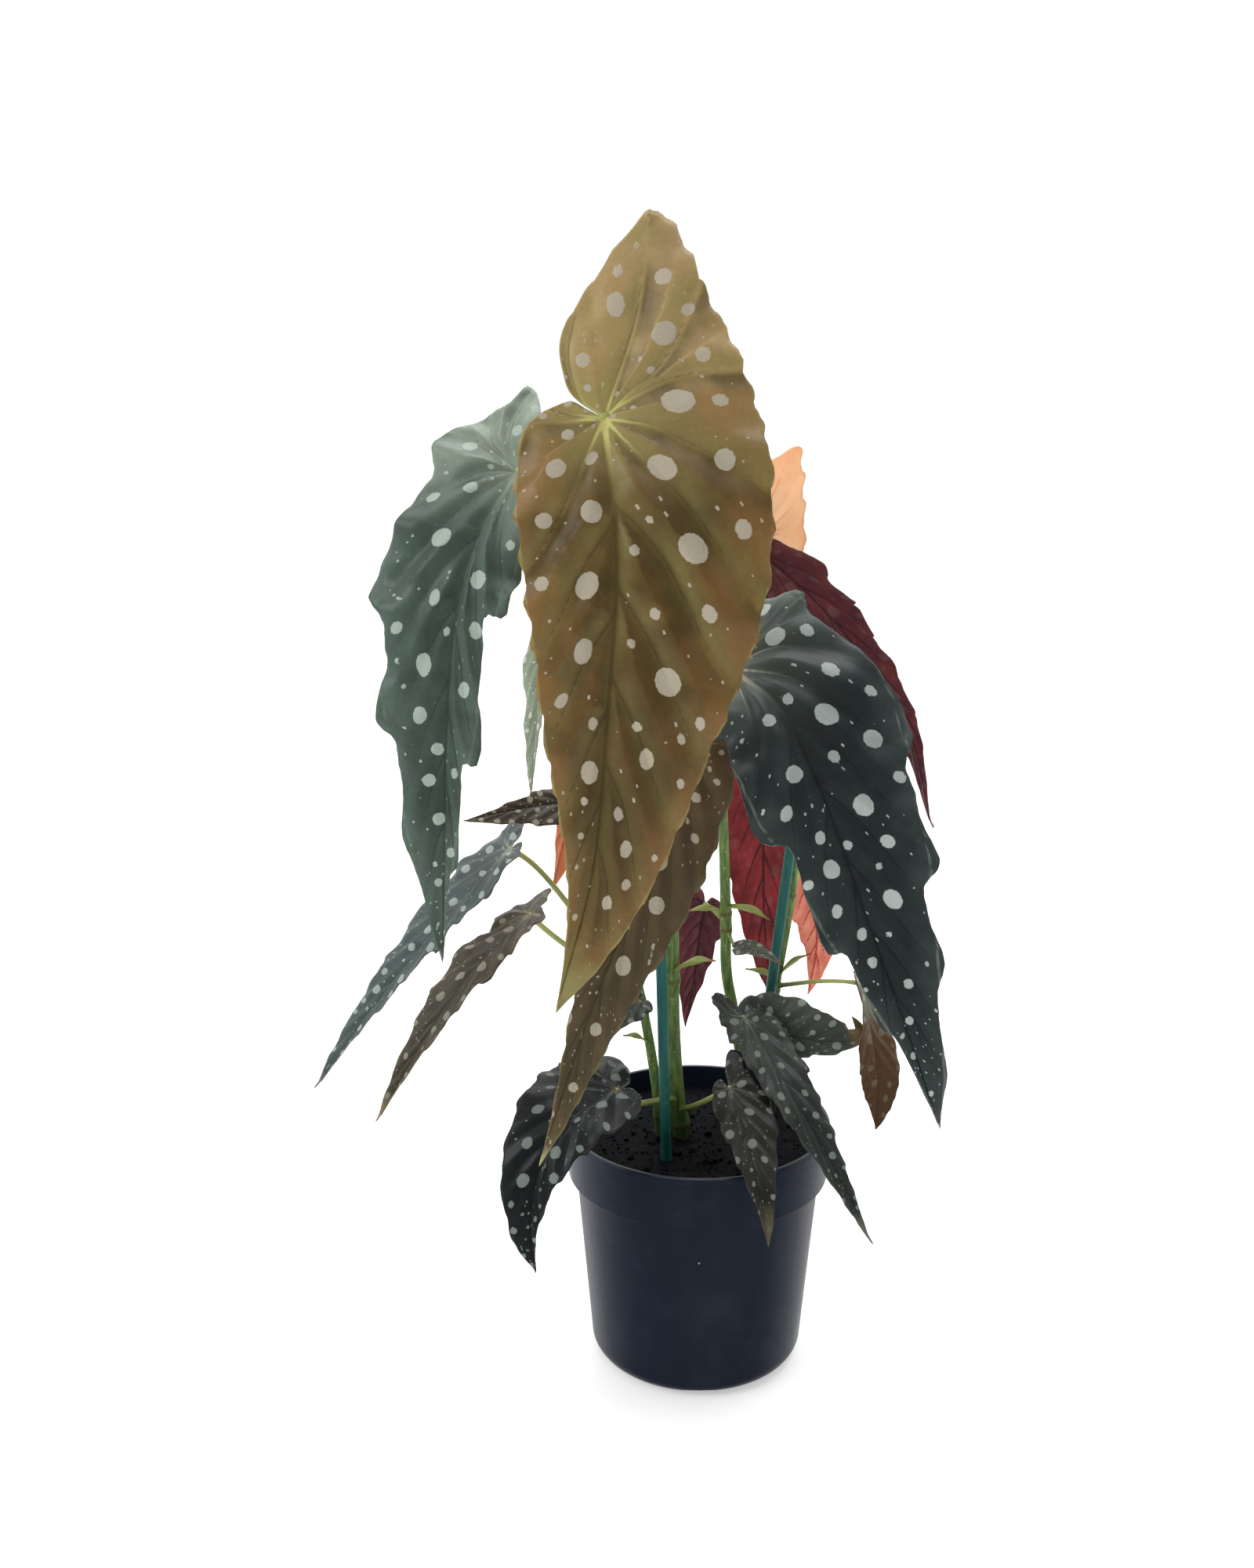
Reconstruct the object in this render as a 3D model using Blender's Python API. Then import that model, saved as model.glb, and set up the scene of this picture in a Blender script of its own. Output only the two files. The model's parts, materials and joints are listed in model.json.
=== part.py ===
"""A polka dot begonia in a round nursery pot, with its canes, leaves, bracts and two support sticks.

The pot stands on z = 0 with its axis on the z axis, and the plant's front faces -Y.
Every table below is in millimetres and degrees.
"""

import math
from collections import namedtuple

import bmesh
import bpy
from mathutils import Matrix, Vector, geometry

MM = 0.001
GAP = 0.35  # clearance kept between pieces that touch

# Pot: a thin moulded shell with a wide band under the lip
POT_HEIGHT = 113.0
LIP_RADIUS = 60.0
BAND_BOTTOM_RADIUS = 59.0
BAND_HEIGHT = 24.5
WALL_TOP_RADIUS = 55.5
WALL_BOTTOM_RADIUS = 48.5
FOOT_ROUND = 9.0
WALL = 1.4
LIP_DEPTH = 3.2
LIP_PROUD = 0.7
LIP_EDGE = 0.7  # chamfer round the top of the lip
POT_SIDES = 48
DRAIN_COUNT = 6
DRAIN_SIZE = (12.0, 15.0, 6.0)  # along the radius, across it, and up

# Potting soil, held inside the shell
SOIL_TOP = 103.0
SOIL_DISH = 1.5
SOIL_CLEARANCE = 0.5  # between the soil and the pot

# Sticks and canes
STICK_RADIUS = 2.4
STICK_SIDES = 10
CANE_SIDES = 8

# Leaves
BLADE_THICKNESS = 0.8
BLADE_ROWS = 16
BLADE_COLUMNS = 3  # on each side of the midrib
FAN_LIMITS = (0.25, 0.45)  # least and greatest share of the rows that fan out from the stalk's end
ARCH_ANGLE = 13.0
WAVE_PITCH = 34.0
STALK_STEPS = 8

# One side of a leaf's outline, from the notch behind the stalk to the tip. Across is in half-widths. Along is in
# blade lengths ahead of the stalk, and in lobe lengths behind it.
WIDE_SIDE = (
    (0, 0), (.02, -.12), (.05, -.24), (.07, -.38), (.12, -.55), (.19, -.69), (.27, -.82), (.36, -.94), (.46, -1),
    (.55, -.97), (.64, -.86), (.74, -.69), (.82, -.48), (.91, -.24), (1, .06), (.98, .2), (.91, .32), (.8, .42),
    (.68, .51), (.56, .61), (.45, .7), (.35, .78), (.22, .88), (.1, .95), (0, 1),
)  # fmt: skip
NARROW_SIDE = (
    (0, 0), (.15, -.45), (.3, -.92), (.46, -.9), (.66, -.42), (.86, .02), (1, .13), (.94, .27), (.79, .39),
    (.63, .52), (.44, .64), (.25, .76), (.11, .87), (.04, .94), (0, 1),
)  # fmt: skip
WIDE_SHOULDER = 14
NARROW_SHOULDER = 6
LOBE_LEAN = 0.45  # how far a long back lobe swings across the midrib, in half-widths
NOTCH_SHARE = 0.2  # share of a lobe's outline that is the edge of the notch

# Canes: centre line from inside the soil upwards, and the radius at its foot and its top
Cane = namedtuple("Cane", "path foot top nodes")
CANES = {
    "tall_cane": Cane(
        [(-6, 7, 76), (-7.5, 6, 104), (-10, 4, 125), (-12, 2, 160), (-12.6, -2, 206), (-15, -12, 307), (-18, -22, 396)],
        4.9, 2.1, (108, 180, 262, 330, 396),
    ),
    "left_cane": Cane(
        [(-17, 9, 76), (-17, 6, 104), (-20, 2, 135), (-26, 0, 171), (-35, 1, 215), (-42, 4, 258)],
        2.9, 1.8, (112, 168, 188, 226, 258),
    ),
    "middle_cane": Cane(
        [(26, 33, 76), (25, 31, 104), (18, 27, 150), (13.5, 24, 175), (12.6, 22, 204), (10, 18, 258), (4, 12, 338)],
        3.1, 2.1, (110, 196, 204, 270, 338),
    ),
    "right_cane": Cane(
        [(36, 30, 76), (35.5, 28.5, 104), (35, 26, 140), (36, 24.5, 166), (42, 24, 209), (45, 22, 262), (42, 20, 316)],
        2.7, 1.9, (112, 150, 166, 212, 262, 316),
    ),
}  # fmt: skip

# Sticks: lower and upper end
STICKS = {
    "left_stick": ((-12.3, -18, 16), (-21.7, -18, 344)),
    "right_stick": ((18, 23.6, 16), (47, 13.4, 298)),
}

# Leaves. Midrib runs from the stalk's end to the tip. Faces are (azimuth, elevation) of the upper side's normal
# at the stalk and at the tip, with 0 towards -Y and 90 towards +X. Hand is 1 where the wide half is on the left
# of someone who stands on the upper side and looks back from the tip, and -1 where it is on the right. Blunt is
# under 1 where the blade stays broad towards its tip.
Leaf = namedtuple("Leaf", "cane height midrib faces wide narrow lobe ear hand stalk blunt", defaults=(1,))
LEAVES = {
    "front_leaf": Leaf(
        "tall_cane", 394,
        [(-40, -132, 430), (-35.5, -146, 388), (-38.5, -152, 336), (-44, -150, 278), (-57.5, -146, 224)],
        ((2, 5), (2, 5)), 53, 33, 72, 7, 1, 2.0,
    ),
    "front_lower_leaf": Leaf(
        "tall_cane", 330, [(-11, -84, 307), (-26, -94, 257), (-46, -104, 207), (-66.5, -108, 144.5)],
        ((5, 10), (5, 10)), 23, 17, 26, 7, 1, 1.7,
    ),
    "left_leaf": Leaf(
        "tall_cane", 362,
        [(-74, -58, 407), (-86, -70, 388), (-95, -78, 362), (-100, -80, 327), (-103.5, -74, 273), (-107, -62, 212)],
        ((-22, 18), (-6, 0)), 34, 18, 36, 8, -1, 1.9,
    ),
    "right_leaf": Leaf(
        "right_cane", 314,
        [(6, -92, 338), (24.5, -108, 324), (41, -116, 290), (57.5, -114, 246), (72, -108, 208), (91, -96, 155)],
        ((5, 20), (5, 5)), 38, 27, 16, 9, 1, 1.9,
    ),
    "back_young_leaf": Leaf(
        "middle_cane", 336, [(16, 43, 370), (8, 54, 332), (0, 58, 292), (-10, 56, 252)],
        ((170, 5), (175, 0)), 32, 17, 50, 8, -1, 1.5,
    ),
    "right_back_leaf": Leaf(
        "right_cane", 290, [(24, 8, 369), (46, 14, 350), (70, 18, 323), (91, 15, 291), (102, 8, 248)],
        ((160, 40), (125, 10)), 18, 16, 16, 6, 1, 1.5,
    ),
    "left_back_leaf": Leaf(
        "left_cane", 256, [(-58, 14, 350), (-68, 10, 328), (-71.5, 6, 296), (-74, 3, 264)],
        ((-60, 20), (-50, 0)), 14, 10, 15, 6, -1, 1.3,
    ),
    "left_small_leaf": Leaf(
        "left_cane", 224, [(-42, -24, 268), (-60, -36, 271), (-80, -46, 270.5), (-98.5, -52, 268)],
        ((0, 40), (0, 30)), 13, 9, 10, 4, 1, 1.2,
    ),
    "left_long_leaf": Leaf(
        "left_cane", 190,
        [(-82, -22, 247), (-100, -30, 230), (-121.5, -36, 206), (-143.5, -40, 177.5), (-165, -42, 147)],
        ((-60, 40), (-50, 20)), 18, 12, 14, 6, -1, 1.3,
    ),
    "left_brown_leaf": Leaf(
        "left_cane", 182,
        [(-73, -40, 224), (-83.5, -56, 218), (-98.5, -70, 205), (-114, -80, 184), (-132.5, -86, 152.5)],
        ((-50, 40), (-40, 20)), 15, 11, 24, 5, -1, 1.3,
    ),
    "back_left_leaf": Leaf(
        "left_cane", 250, [(-44, 32, 300), (-51, 30, 270), (-59, 25, 245), (-66, 18, 216)],
        ((175, 5), (175, 5)), 18, 13, 14, 6, -1, 1.3,
    ),
    "rim_left_leaf": Leaf(
        "tall_cane", 122,
        [(-37, -40, 145), (-53.5, -66, 145), (-67.5, -80, 129), (-72, -84, 105), (-70, -80, 82)],
        ((-15, 50), (-15, 0)), 26, 17, 24, 6, -1, 1.4,
    ),
    "upper_rim_leaf": Leaf(
        "left_cane", 165, [(-27, -16, 170), (-37, -30, 168), (-48, -40, 162), (-58, -46, 153)],
        ((-10, 60), (-20, 30)), 12, 9, 10, 4, -1, 1.0,
    ),
    "rim_front_leaf": Leaf(
        "tall_cane", 116, [(12, -34, 143), (17.5, -48, 131), (22.5, -66, 113), (26.5, -76, 91)],
        ((8, 40), (5, 10)), 15, 10, 19, 6, 1, 1.2,
    ),
    "rim_right_leaf": Leaf(
        "middle_cane", 118,
        [(20, -4, 163.5), (31, -26, 152), (44.5, -46, 133.5), (59.5, -54, 108), (73, -54, 80)],
        ((5, 45), (25, 15)), 11, 13, 22, 6, -1, 1.2,
    ),
    "curled_leaf": Leaf(
        "middle_cane", 140,
        [(27, 3, 153), (41.5, -6, 155), (57, -11, 155), (68, -14, 157), (71, -17, 164), (66, -18, 170)],
        ((0, 12), (-10, 12)), 19, 10, 12, 5, 1, 1.1,
    ),
    "right_hanging_leaf": Leaf(
        "right_cane", 168, [(68, -14, 184), (73.5, -19, 166), (78, -21, 142), (78, -20, 117)],
        ((88, 10), (-12, 0)), 13, 11, 5, 4, 1, 1.0, 0.5,
    ),
    "back_red_leaf": Leaf(
        "right_cane", 258, [(28, 44, 286), (30.5, 46, 260), (31, 45, 228), (32, 41, 192), (36, 36, 156)],
        ((180, 0), (180, 0)), 25, 20, 16, 7, 1, 1.5,
    ),
    "back_pink_leaf": Leaf(
        "right_cane", 208, [(50, 54, 216), (57, 55, 194), (58, 53, 175), (54, 48, 154)],
        ((180, 5), (180, 5)), 18, 14, 12, 5, -1, 1.1,
    ),
    "back_purple_leaf": Leaf(
        "middle_cane", 200, [(4, 38, 203), (1.5, 38, 188), (-1, 35, 168), (-5, 30, 145)],
        ((180, 10), (180, 0)), 13, 10, 9, 4, 1, 1.0,
    ),
    "middle_small_leaf": Leaf(
        "middle_cane", 194, [(17, 10, 191), (23, 6, 192), (30, 3, 190), (37, 2, 186)],
        ((0, 65), (0, 55)), 6, 4, 4, 2, 1, 0.7,
    ),
}  # fmt: skip

# Colours of the leaves that aren't dark green
LEAF_TONES = {
    "dark_green": (0.03, 0.045, 0.042), "olive_brown": (0.2, 0.13, 0.055), "grey_green": (0.085, 0.13, 0.1),
    "brown": (0.09, 0.07, 0.04), "peach": (0.8, 0.4, 0.2), "maroon": (0.12, 0.025, 0.03), "red": (0.5, 0.12, 0.09),
}  # fmt: skip
TONED_LEAVES = {
    "olive_brown": ("front_leaf",),
    "grey_green": ("left_leaf", "left_back_leaf", "left_long_leaf", "curled_leaf", "middle_small_leaf"),
    "brown": ("front_lower_leaf", "left_brown_leaf", "left_small_leaf", "right_hanging_leaf"),
    "peach": ("back_young_leaf",),
    "maroon": ("right_back_leaf", "back_red_leaf", "back_purple_leaf"),
    "red": ("back_pink_leaf", "back_left_leaf"),
}

# Bracts: small pointed scales at a cane's node: cane, height, azimuth, elevation, length, half-width
BRACTS = {
    "middle_bract_left": ("middle_cane", 203, -80, 20, 16, 3.4),
    "middle_bract_right": ("middle_cane", 206, 60, 8, 20, 3.6),
    "right_bract_left": ("right_cane", 170, -98, 35, 13, 3.2),
    "right_bract_upper": ("right_cane", 172, 80, 55, 17, 3.0),
    "tall_bract": ("tall_cane", 183, 62, 38, 20, 4.6),
    "left_bract": ("left_cane", 150, -60, 40, 13, 2.8),
}


def clear_scene():
    for obj in list(bpy.data.objects):
        bpy.data.objects.remove(obj, do_unlink=True)


def vec(point):
    """A point of a table, in metres."""
    return Vector(point) * MM


def material(name, color, roughness):
    made = bpy.data.materials.get(name)
    if made is None:
        made = bpy.data.materials.new(name)
        made.use_nodes = True
        shader = made.node_tree.nodes["Principled BSDF"]
        shader.inputs["Base Color"].default_value = (*color, 1)
        shader.inputs["Roughness"].default_value = roughness
        shader.inputs["Metallic"].default_value = 0.0
    return made


def link_mesh(name, bm, finish):
    mesh = bpy.data.meshes.new(name)
    bm.to_mesh(mesh)
    bm.free()
    mesh.materials.append(finish)
    obj = bpy.data.objects.new(name, mesh)
    bpy.context.scene.collection.objects.link(obj)
    return obj


def make_cutter(obj):
    obj.hide_render = True
    obj.display_type = "WIRE"
    return obj


def boolean(obj, other, operation):
    modifier = obj.modifiers.new(operation.title(), "BOOLEAN")
    modifier.operation = operation
    modifier.solver = "EXACT"
    modifier.object = make_cutter(other)


def smooth_line(points, steps=10):
    """A Catmull-Rom curve through the points, as a close polyline."""
    points = [Vector(p) for p in points]
    ends = [2 * points[0] - points[1], *points, 2 * points[-1] - points[-2]]
    line = []
    for before, start, end, after in zip(ends, ends[1:], ends[2:], ends[3:]):
        for step in range(steps):
            t = step / steps
            line.append(
                0.5 * (2 * start + (end - before) * t
                       + (2 * before - 5 * start + 4 * end - after) * t**2
                       + (3 * start - before - 3 * end + after) * t**3)
            )  # fmt: skip
    line.append(points[-1])
    return line


def line_length(line):
    return sum((b - a).length for a, b in zip(line, line[1:]))


def point_on(line, distance):
    """The point that far along a polyline, and the direction there."""
    for start, end in zip(line, line[1:]):
        step = (end - start).length
        if distance <= step:
            return start + (end - start) * (distance / step), (end - start).normalized()
        distance -= step
    return line[-1].copy(), (line[-1] - line[-2]).normalized()


def direction(azimuth, elevation):
    """Azimuth 0 is towards -Y and 90 towards +X."""
    a, e = math.radians(azimuth), math.radians(elevation)
    return Vector((math.sin(a) * math.cos(e), -math.cos(a) * math.cos(e), math.sin(e)))


def turned(name, profile, sides, finish):
    """A closed solid from a profile of (radius, height) points, turned about the z axis."""
    bm = bmesh.new()
    verts = [bm.verts.new((radius * MM, 0, height * MM)) for radius, height in profile]
    edges = [bm.edges.new(pair) for pair in zip(verts, verts[1:])]
    bmesh.ops.spin(
        bm, geom=verts + edges, cent=(0, 0, 0), axis=(0, 0, 1), angle=math.tau, steps=sides, use_merge=True,
    )  # fmt: skip
    bmesh.ops.remove_doubles(bm, verts=bm.verts, dist=0.01 * MM)
    bmesh.ops.recalc_face_normals(bm, faces=bm.faces)
    obj = link_mesh(name, bm, finish)
    obj.data.shade_smooth()
    obj.data.set_sharp_from_angle(angle=math.radians(35))
    return obj


def foot_arc(radius, round_radius, base, steps=4):
    """The rounded edge between a floor at base height and a wall of that radius."""
    centre = radius - round_radius
    return [
        (centre + round_radius * math.sin(a), base + round_radius * (1 - math.cos(a)))
        for a in (math.pi / 2 * i / steps for i in range(steps + 1))
    ]


def make_pot():
    finish = material("black_polypropylene", (0.012, 0.014, 0.019), 0.42)
    band_low = POT_HEIGHT - BAND_HEIGHT
    outside = [
        (0, 0), *foot_arc(WALL_BOTTOM_RADIUS, FOOT_ROUND, 0), (WALL_TOP_RADIUS, band_low),
        (BAND_BOTTOM_RADIUS, band_low + 1), (LIP_RADIUS - LIP_PROUD, POT_HEIGHT - LIP_DEPTH - 0.6),
        (LIP_RADIUS, POT_HEIGHT - LIP_DEPTH), (LIP_RADIUS, POT_HEIGHT - LIP_EDGE), (LIP_RADIUS - LIP_EDGE, POT_HEIGHT),
    ]  # fmt: skip
    inside = [
        (LIP_RADIUS - WALL - 0.5, POT_HEIGHT), (LIP_RADIUS - WALL - 0.9, POT_HEIGHT - 1),
        (BAND_BOTTOM_RADIUS - WALL, band_low + 1 + WALL), (WALL_TOP_RADIUS - WALL, band_low + 0.4 + WALL),
        *reversed(foot_arc(WALL_BOTTOM_RADIUS - WALL, FOOT_ROUND - WALL, WALL)), (0, WALL),
    ]  # fmt: skip
    pot = turned("nursery_pot", outside + inside, POT_SIDES, finish)
    for number in range(DRAIN_COUNT):
        bm = bmesh.new()
        bmesh.ops.create_cube(bm, size=MM)
        bmesh.ops.scale(bm, verts=bm.verts, vec=DRAIN_SIZE)
        slot = link_mesh(f"drain_cutter_{number}", bm, finish)
        turn = Matrix.Rotation(math.tau * number / DRAIN_COUNT - math.pi / 2, 4, "Z")
        slot.matrix_world = turn @ Matrix.Translation((WALL_BOTTOM_RADIUS * MM, 0, 0))
        boolean(pot, slot, "DIFFERENCE")


def make_soil(sockets):
    finish = material("dark_peat", (0.02, 0.014, 0.010), 0.95)
    band_low = POT_HEIGHT - BAND_HEIGHT
    clear = WALL + SOIL_CLEARANCE
    profile = [
        (0, clear), *foot_arc(WALL_BOTTOM_RADIUS - clear, FOOT_ROUND - clear, clear),
        (WALL_TOP_RADIUS - clear, band_low), (WALL_TOP_RADIUS - clear, band_low + 0.4 + WALL + 1.2),
        (BAND_BOTTOM_RADIUS - clear - 0.3, band_low + WALL + 3.2),
        (BAND_BOTTOM_RADIUS - clear - 0.3, SOIL_TOP - 0.5),
        (40, SOIL_TOP), (18, SOIL_TOP - SOIL_DISH), (0, SOIL_TOP - SOIL_DISH),
    ]  # fmt: skip
    soil = turned("potting_soil", profile, 24, finish)
    for socket in sockets:
        boolean(soil, socket, "DIFFERENCE")


def tube(name, line, radii, sides, finish):
    """A round bar along a polyline, as a mesh with closed ends."""
    curve = bpy.data.curves.new(name, "CURVE")
    curve.dimensions = "3D"
    curve.bevel_depth = 1.0
    curve.bevel_resolution = (sides - 4) // 2
    curve.use_fill_caps = True
    spline = curve.splines.new("POLY")
    spline.points.add(len(line) - 1)
    for point, place, radius in zip(spline.points, line, radii):
        point.co = (*place, 1)
        point.radius = radius * MM
    guide = bpy.data.objects.new(name + "_guide", curve)
    bpy.context.scene.collection.objects.link(guide)
    bpy.context.view_layer.update()
    mesh = bpy.data.meshes.new_from_object(guide)
    bpy.data.objects.remove(guide)
    bm = bmesh.new()
    bm.from_mesh(mesh)
    bmesh.ops.remove_doubles(bm, verts=bm.verts, dist=0.01 * MM)
    bmesh.ops.recalc_face_normals(bm, faces=bm.faces)
    obj = link_mesh(name, bm, finish)
    obj.data.shade_smooth()
    obj.data.set_sharp_from_angle(angle=math.radians(60))
    return obj


def cane_line(cane):
    return smooth_line([vec(p) for p in cane.path], steps=4)


def cane_radius(cane, height):
    """The cane's taper, swollen a little at each node."""
    low, high = cane.path[0][2], cane.path[-1][2]
    share = (height - low) / (high - low)
    bare = cane.foot + (cane.top - cane.foot) * min(1, share**0.5)
    return bare * (1 + 0.16 * sum(math.exp(-(((height - node) / 4) ** 2)) for node in cane.nodes))


def make_cane(name, cane, sockets):
    finish = material("cane_green", (0.11, 0.20, 0.045), 0.45)
    line = cane_line(cane)
    radii = [cane_radius(cane, p.z / MM) for p in line]
    tube(name, line, radii, CANE_SIDES, finish)
    buried = [p for p in line if p.z < (SOIL_TOP + 8) * MM]
    sleeve = [cane_radius(cane, p.z / MM) + GAP for p in buried]
    low_end = buried[0] - Vector((0, 0, GAP * MM))
    sockets.append(tube(name + "_socket", [low_end, *buried[1:]], sleeve, CANE_SIDES, finish))


def make_stick(name, ends, sockets):
    finish = material("teal_stick", (0.008, 0.16, 0.15), 0.5)
    low, high = (vec(p) for p in ends)
    tube(name, [low, high], [STICK_RADIUS] * 2, STICK_SIDES, finish)
    along = (high - low).normalized()
    top = low + along * (SOIL_TOP * MM)
    sockets.append(
        tube(name + "_socket", [low - along * GAP * MM, top], [STICK_RADIUS + GAP] * 2, STICK_SIDES, finish)
    )


class Blade:
    """A leaf's shape: where a point of the flat leaf lies in space."""

    def __init__(self, leaf):
        self.leaf = leaf
        self.line = smooth_line([vec(p) for p in leaf.midrib])
        self.length = line_length(self.line)
        lean = LOBE_LEAN * max(0.0, 1 - 3 * leaf.ear / leaf.lobe)
        self.sides = [
            self.side(WIDE_SIDE, WIDE_SHOULDER, leaf.wide, leaf.lobe, lean),
            self.side(NARROW_SIDE, NARROW_SHOULDER, leaf.narrow, leaf.ear, 0.0),
        ]
        lobes, flanks = (sum(line_length(side[part]) for side in self.sides) for part in (0, 1))
        self.fan = min(FAN_LIMITS[1], max(FAN_LIMITS[0], lobes / (lobes + flanks)))

    def side(self, outline, shoulder, half_width, lobe, lean):
        """(the outline round the lobe, the outline ahead of it), flat, in metres."""
        flat = []
        for across, along in outline:
            shift = lean * math.sin(math.pi * max(0.0, -along) ** 0.7) * (1 - across)
            ahead = along**self.leaf.blunt * self.length if along > 0 else along * lobe * MM
            flat.append(Vector(((across - shift) * half_width * MM, ahead, 0)))
        line = smooth_line(flat)
        cut = shoulder * 10
        return line[: cut + 1], line[cut:]

    def flat(self, across, row):
        """A point of the flat leaf: across from -1 to 1 between its margins, row from 0 at the notch to 1."""
        lobe, flank = self.sides[0 if across * self.leaf.hand > 0 else 1]
        if row < self.fan:
            share, round_lobe = row / self.fan, line_length(lobe)
            edge, _ = point_on(lobe, round_lobe * (NOTCH_SHARE + (1 - NOTCH_SHARE) * share))
            notch, _ = point_on(lobe, round_lobe * NOTCH_SHARE * abs(across))
            point = notch.lerp(edge * abs(across), min(1.0, 3 * share))
        else:
            ahead = (row - self.fan) / (1 - self.fan)
            start = Vector((0, self.length * ahead**1.25, 0))
            edge, _ = point_on(flank, line_length(flank) * ahead)
            point = start.lerp(edge, abs(across))
        return (point.x if across > 0 else -point.x), point.y

    def frame(self, along):
        """Origin, direction to the tip, upward normal and sideways direction at that distance along the midrib."""
        origin, ahead = point_on(self.line, max(0.0, along))
        if along < 0:
            origin = origin + ahead * along
        share = min(1.0, max(0.0, along / self.length))
        first, last = (direction(*face) for face in self.leaf.faces)
        up = first.lerp(last, share)
        up = (up - ahead * up.dot(ahead)).normalized()
        return origin, ahead, up, up.cross(ahead)

    def place(self, side, along):
        """The arched and waved leaf: its halves rise from the midrib and fall to the margin."""
        origin, _, up, across = self.frame(along)
        leaf = self.leaf
        half = (leaf.wide if side * leaf.hand > 0 else leaf.narrow) * MM
        out = min(1.4, abs(side) / half)
        rise = math.sin(math.radians(ARCH_ANGLE)) * half * (out - out * out)
        wave = 0.035 * half * out * out * math.sin(math.tau * along / (WAVE_PITCH * MM) + leaf.wide)
        droop = 0.12 * min(0.0, along) ** 2 / (leaf.lobe * MM)
        return origin + across * side + up * (rise + wave - droop)


def blade_mesh(name, leaf, finish):
    blade = Blade(leaf)
    bm = bmesh.new()
    bmesh.ops.create_grid(bm, x_segments=2 * BLADE_COLUMNS, y_segments=BLADE_ROWS, size=1)
    for vert in bm.verts:
        side, along = blade.flat(vert.co.x, (vert.co.y + 1) / 2)
        vert.co = blade.place(side, along)
    bmesh.ops.remove_doubles(bm, verts=bm.verts, dist=0.05 * MM)
    obj = link_mesh(name, bm, finish)
    solid = obj.modifiers.new("Thickness", "SOLIDIFY")
    solid.thickness = BLADE_THICKNESS * MM
    solid.offset = 0
    obj.data.shade_smooth()
    return obj, blade


def stalk_line(leaf, blade):
    """The stalk's centre line, from just off its cane to just through the blade."""
    cane = CANES[leaf.cane]
    line = cane_line(cane)
    height = leaf.height * MM
    foot = min(line, key=lambda p: abs(p.z - height))
    origin, ahead, up, _ = blade.frame(0)
    out = origin - foot
    out = Vector((out.x, out.y, 0)).normalized()
    start = foot + out * (cane_radius(cane, foot.z / MM) + 2 * GAP + 0.6 * leaf.stalk) * MM
    span = (origin - start).length
    end = origin + up * 0.9 * MM
    lift = Vector((0, 0, 0.25))
    line = geometry.interpolate_bezier(
        start, start + (out * 0.7 + lift) * span * 0.38,
        end - (up * 0.8 + ahead * 0.35) * span * 0.34, end, STALK_STEPS,
    )
    return [Vector(p) for p in line]


def leaf_finish(name):
    tone = next((tone for tone, names in TONED_LEAVES.items() if name in names), "dark_green")
    return material(tone + "_leaf", LEAF_TONES[tone], 0.4)


def make_leaf(name, leaf):
    finish = leaf_finish(name)
    obj, blade = blade_mesh(name, leaf, finish)
    line = stalk_line(leaf, blade)
    radii = [leaf.stalk * (1.15 - 0.25 * i / (len(line) - 1)) for i in range(len(line))]
    stalk = tube(name + "_stalk", line, radii, 6, finish)
    boolean(obj, stalk, "UNION")


def make_bract(name, spec):
    """A small pointed scale that stands off its cane's node."""
    cane_name, height, azimuth, elevation, length, half_width = spec
    cane = CANES[cane_name]
    foot = min(cane_line(cane), key=lambda p: abs(p.z - height * MM))
    heading = direction(azimuth, elevation)
    side = heading.cross(Vector((0, 0, 1))).normalized()
    up = side.cross(heading)
    flat_out = Vector((heading.x, heading.y, 0)).normalized()
    start = foot + flat_out * (cane_radius(cane, foot.z / MM) + GAP + 0.9) * MM
    bm = bmesh.new()
    bmesh.ops.create_grid(bm, x_segments=2, y_segments=6, size=1)
    for vert in bm.verts:
        share = (vert.co.y + 1) / 2
        width = half_width * (0.45 + 1.9 * share * (1 - share) + 0.1 * (1 - share)) * (1 - share**4)
        offset = side * vert.co.x * width * MM
        cup = up * (abs(vert.co.x) * width * 0.5 - length * 0.25 * share * share) * MM
        vert.co = start + heading * share * length * MM + offset + cup
    bmesh.ops.remove_doubles(bm, verts=bm.verts, dist=0.2 * MM)
    obj = link_mesh(name, bm, material("bract_green", (0.30, 0.42, 0.10), 0.5))
    solid = obj.modifiers.new("Thickness", "SOLIDIFY")
    solid.thickness = 0.8 * MM
    solid.offset = 0
    obj.data.shade_smooth()


def main():
    clear_scene()
    sockets = []
    for name, cane in CANES.items():
        make_cane(name, cane, sockets)
    for name, ends in STICKS.items():
        make_stick(name, ends, sockets)
    make_pot()
    make_soil(sockets)
    for name, leaf in LEAVES.items():
        make_leaf(name, leaf)
    for name, spec in BRACTS.items():
        make_bract(name, spec)


main()
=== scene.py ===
"""The looks of a potted polka dot begonia: leaves, canes, bracts, sticks, peat and pot, on a plain stage.

Lengths in the tables are in millimetres and angles in degrees. Meshes are built in metres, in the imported
frame.
"""

import json
import math
import random
from collections import namedtuple

import bmesh
import bpy
import numpy as np
from bpy.props import FloatProperty, FloatVectorProperty, IntProperty, PointerProperty
from mathutils import Matrix, Vector, geometry, noise

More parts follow.
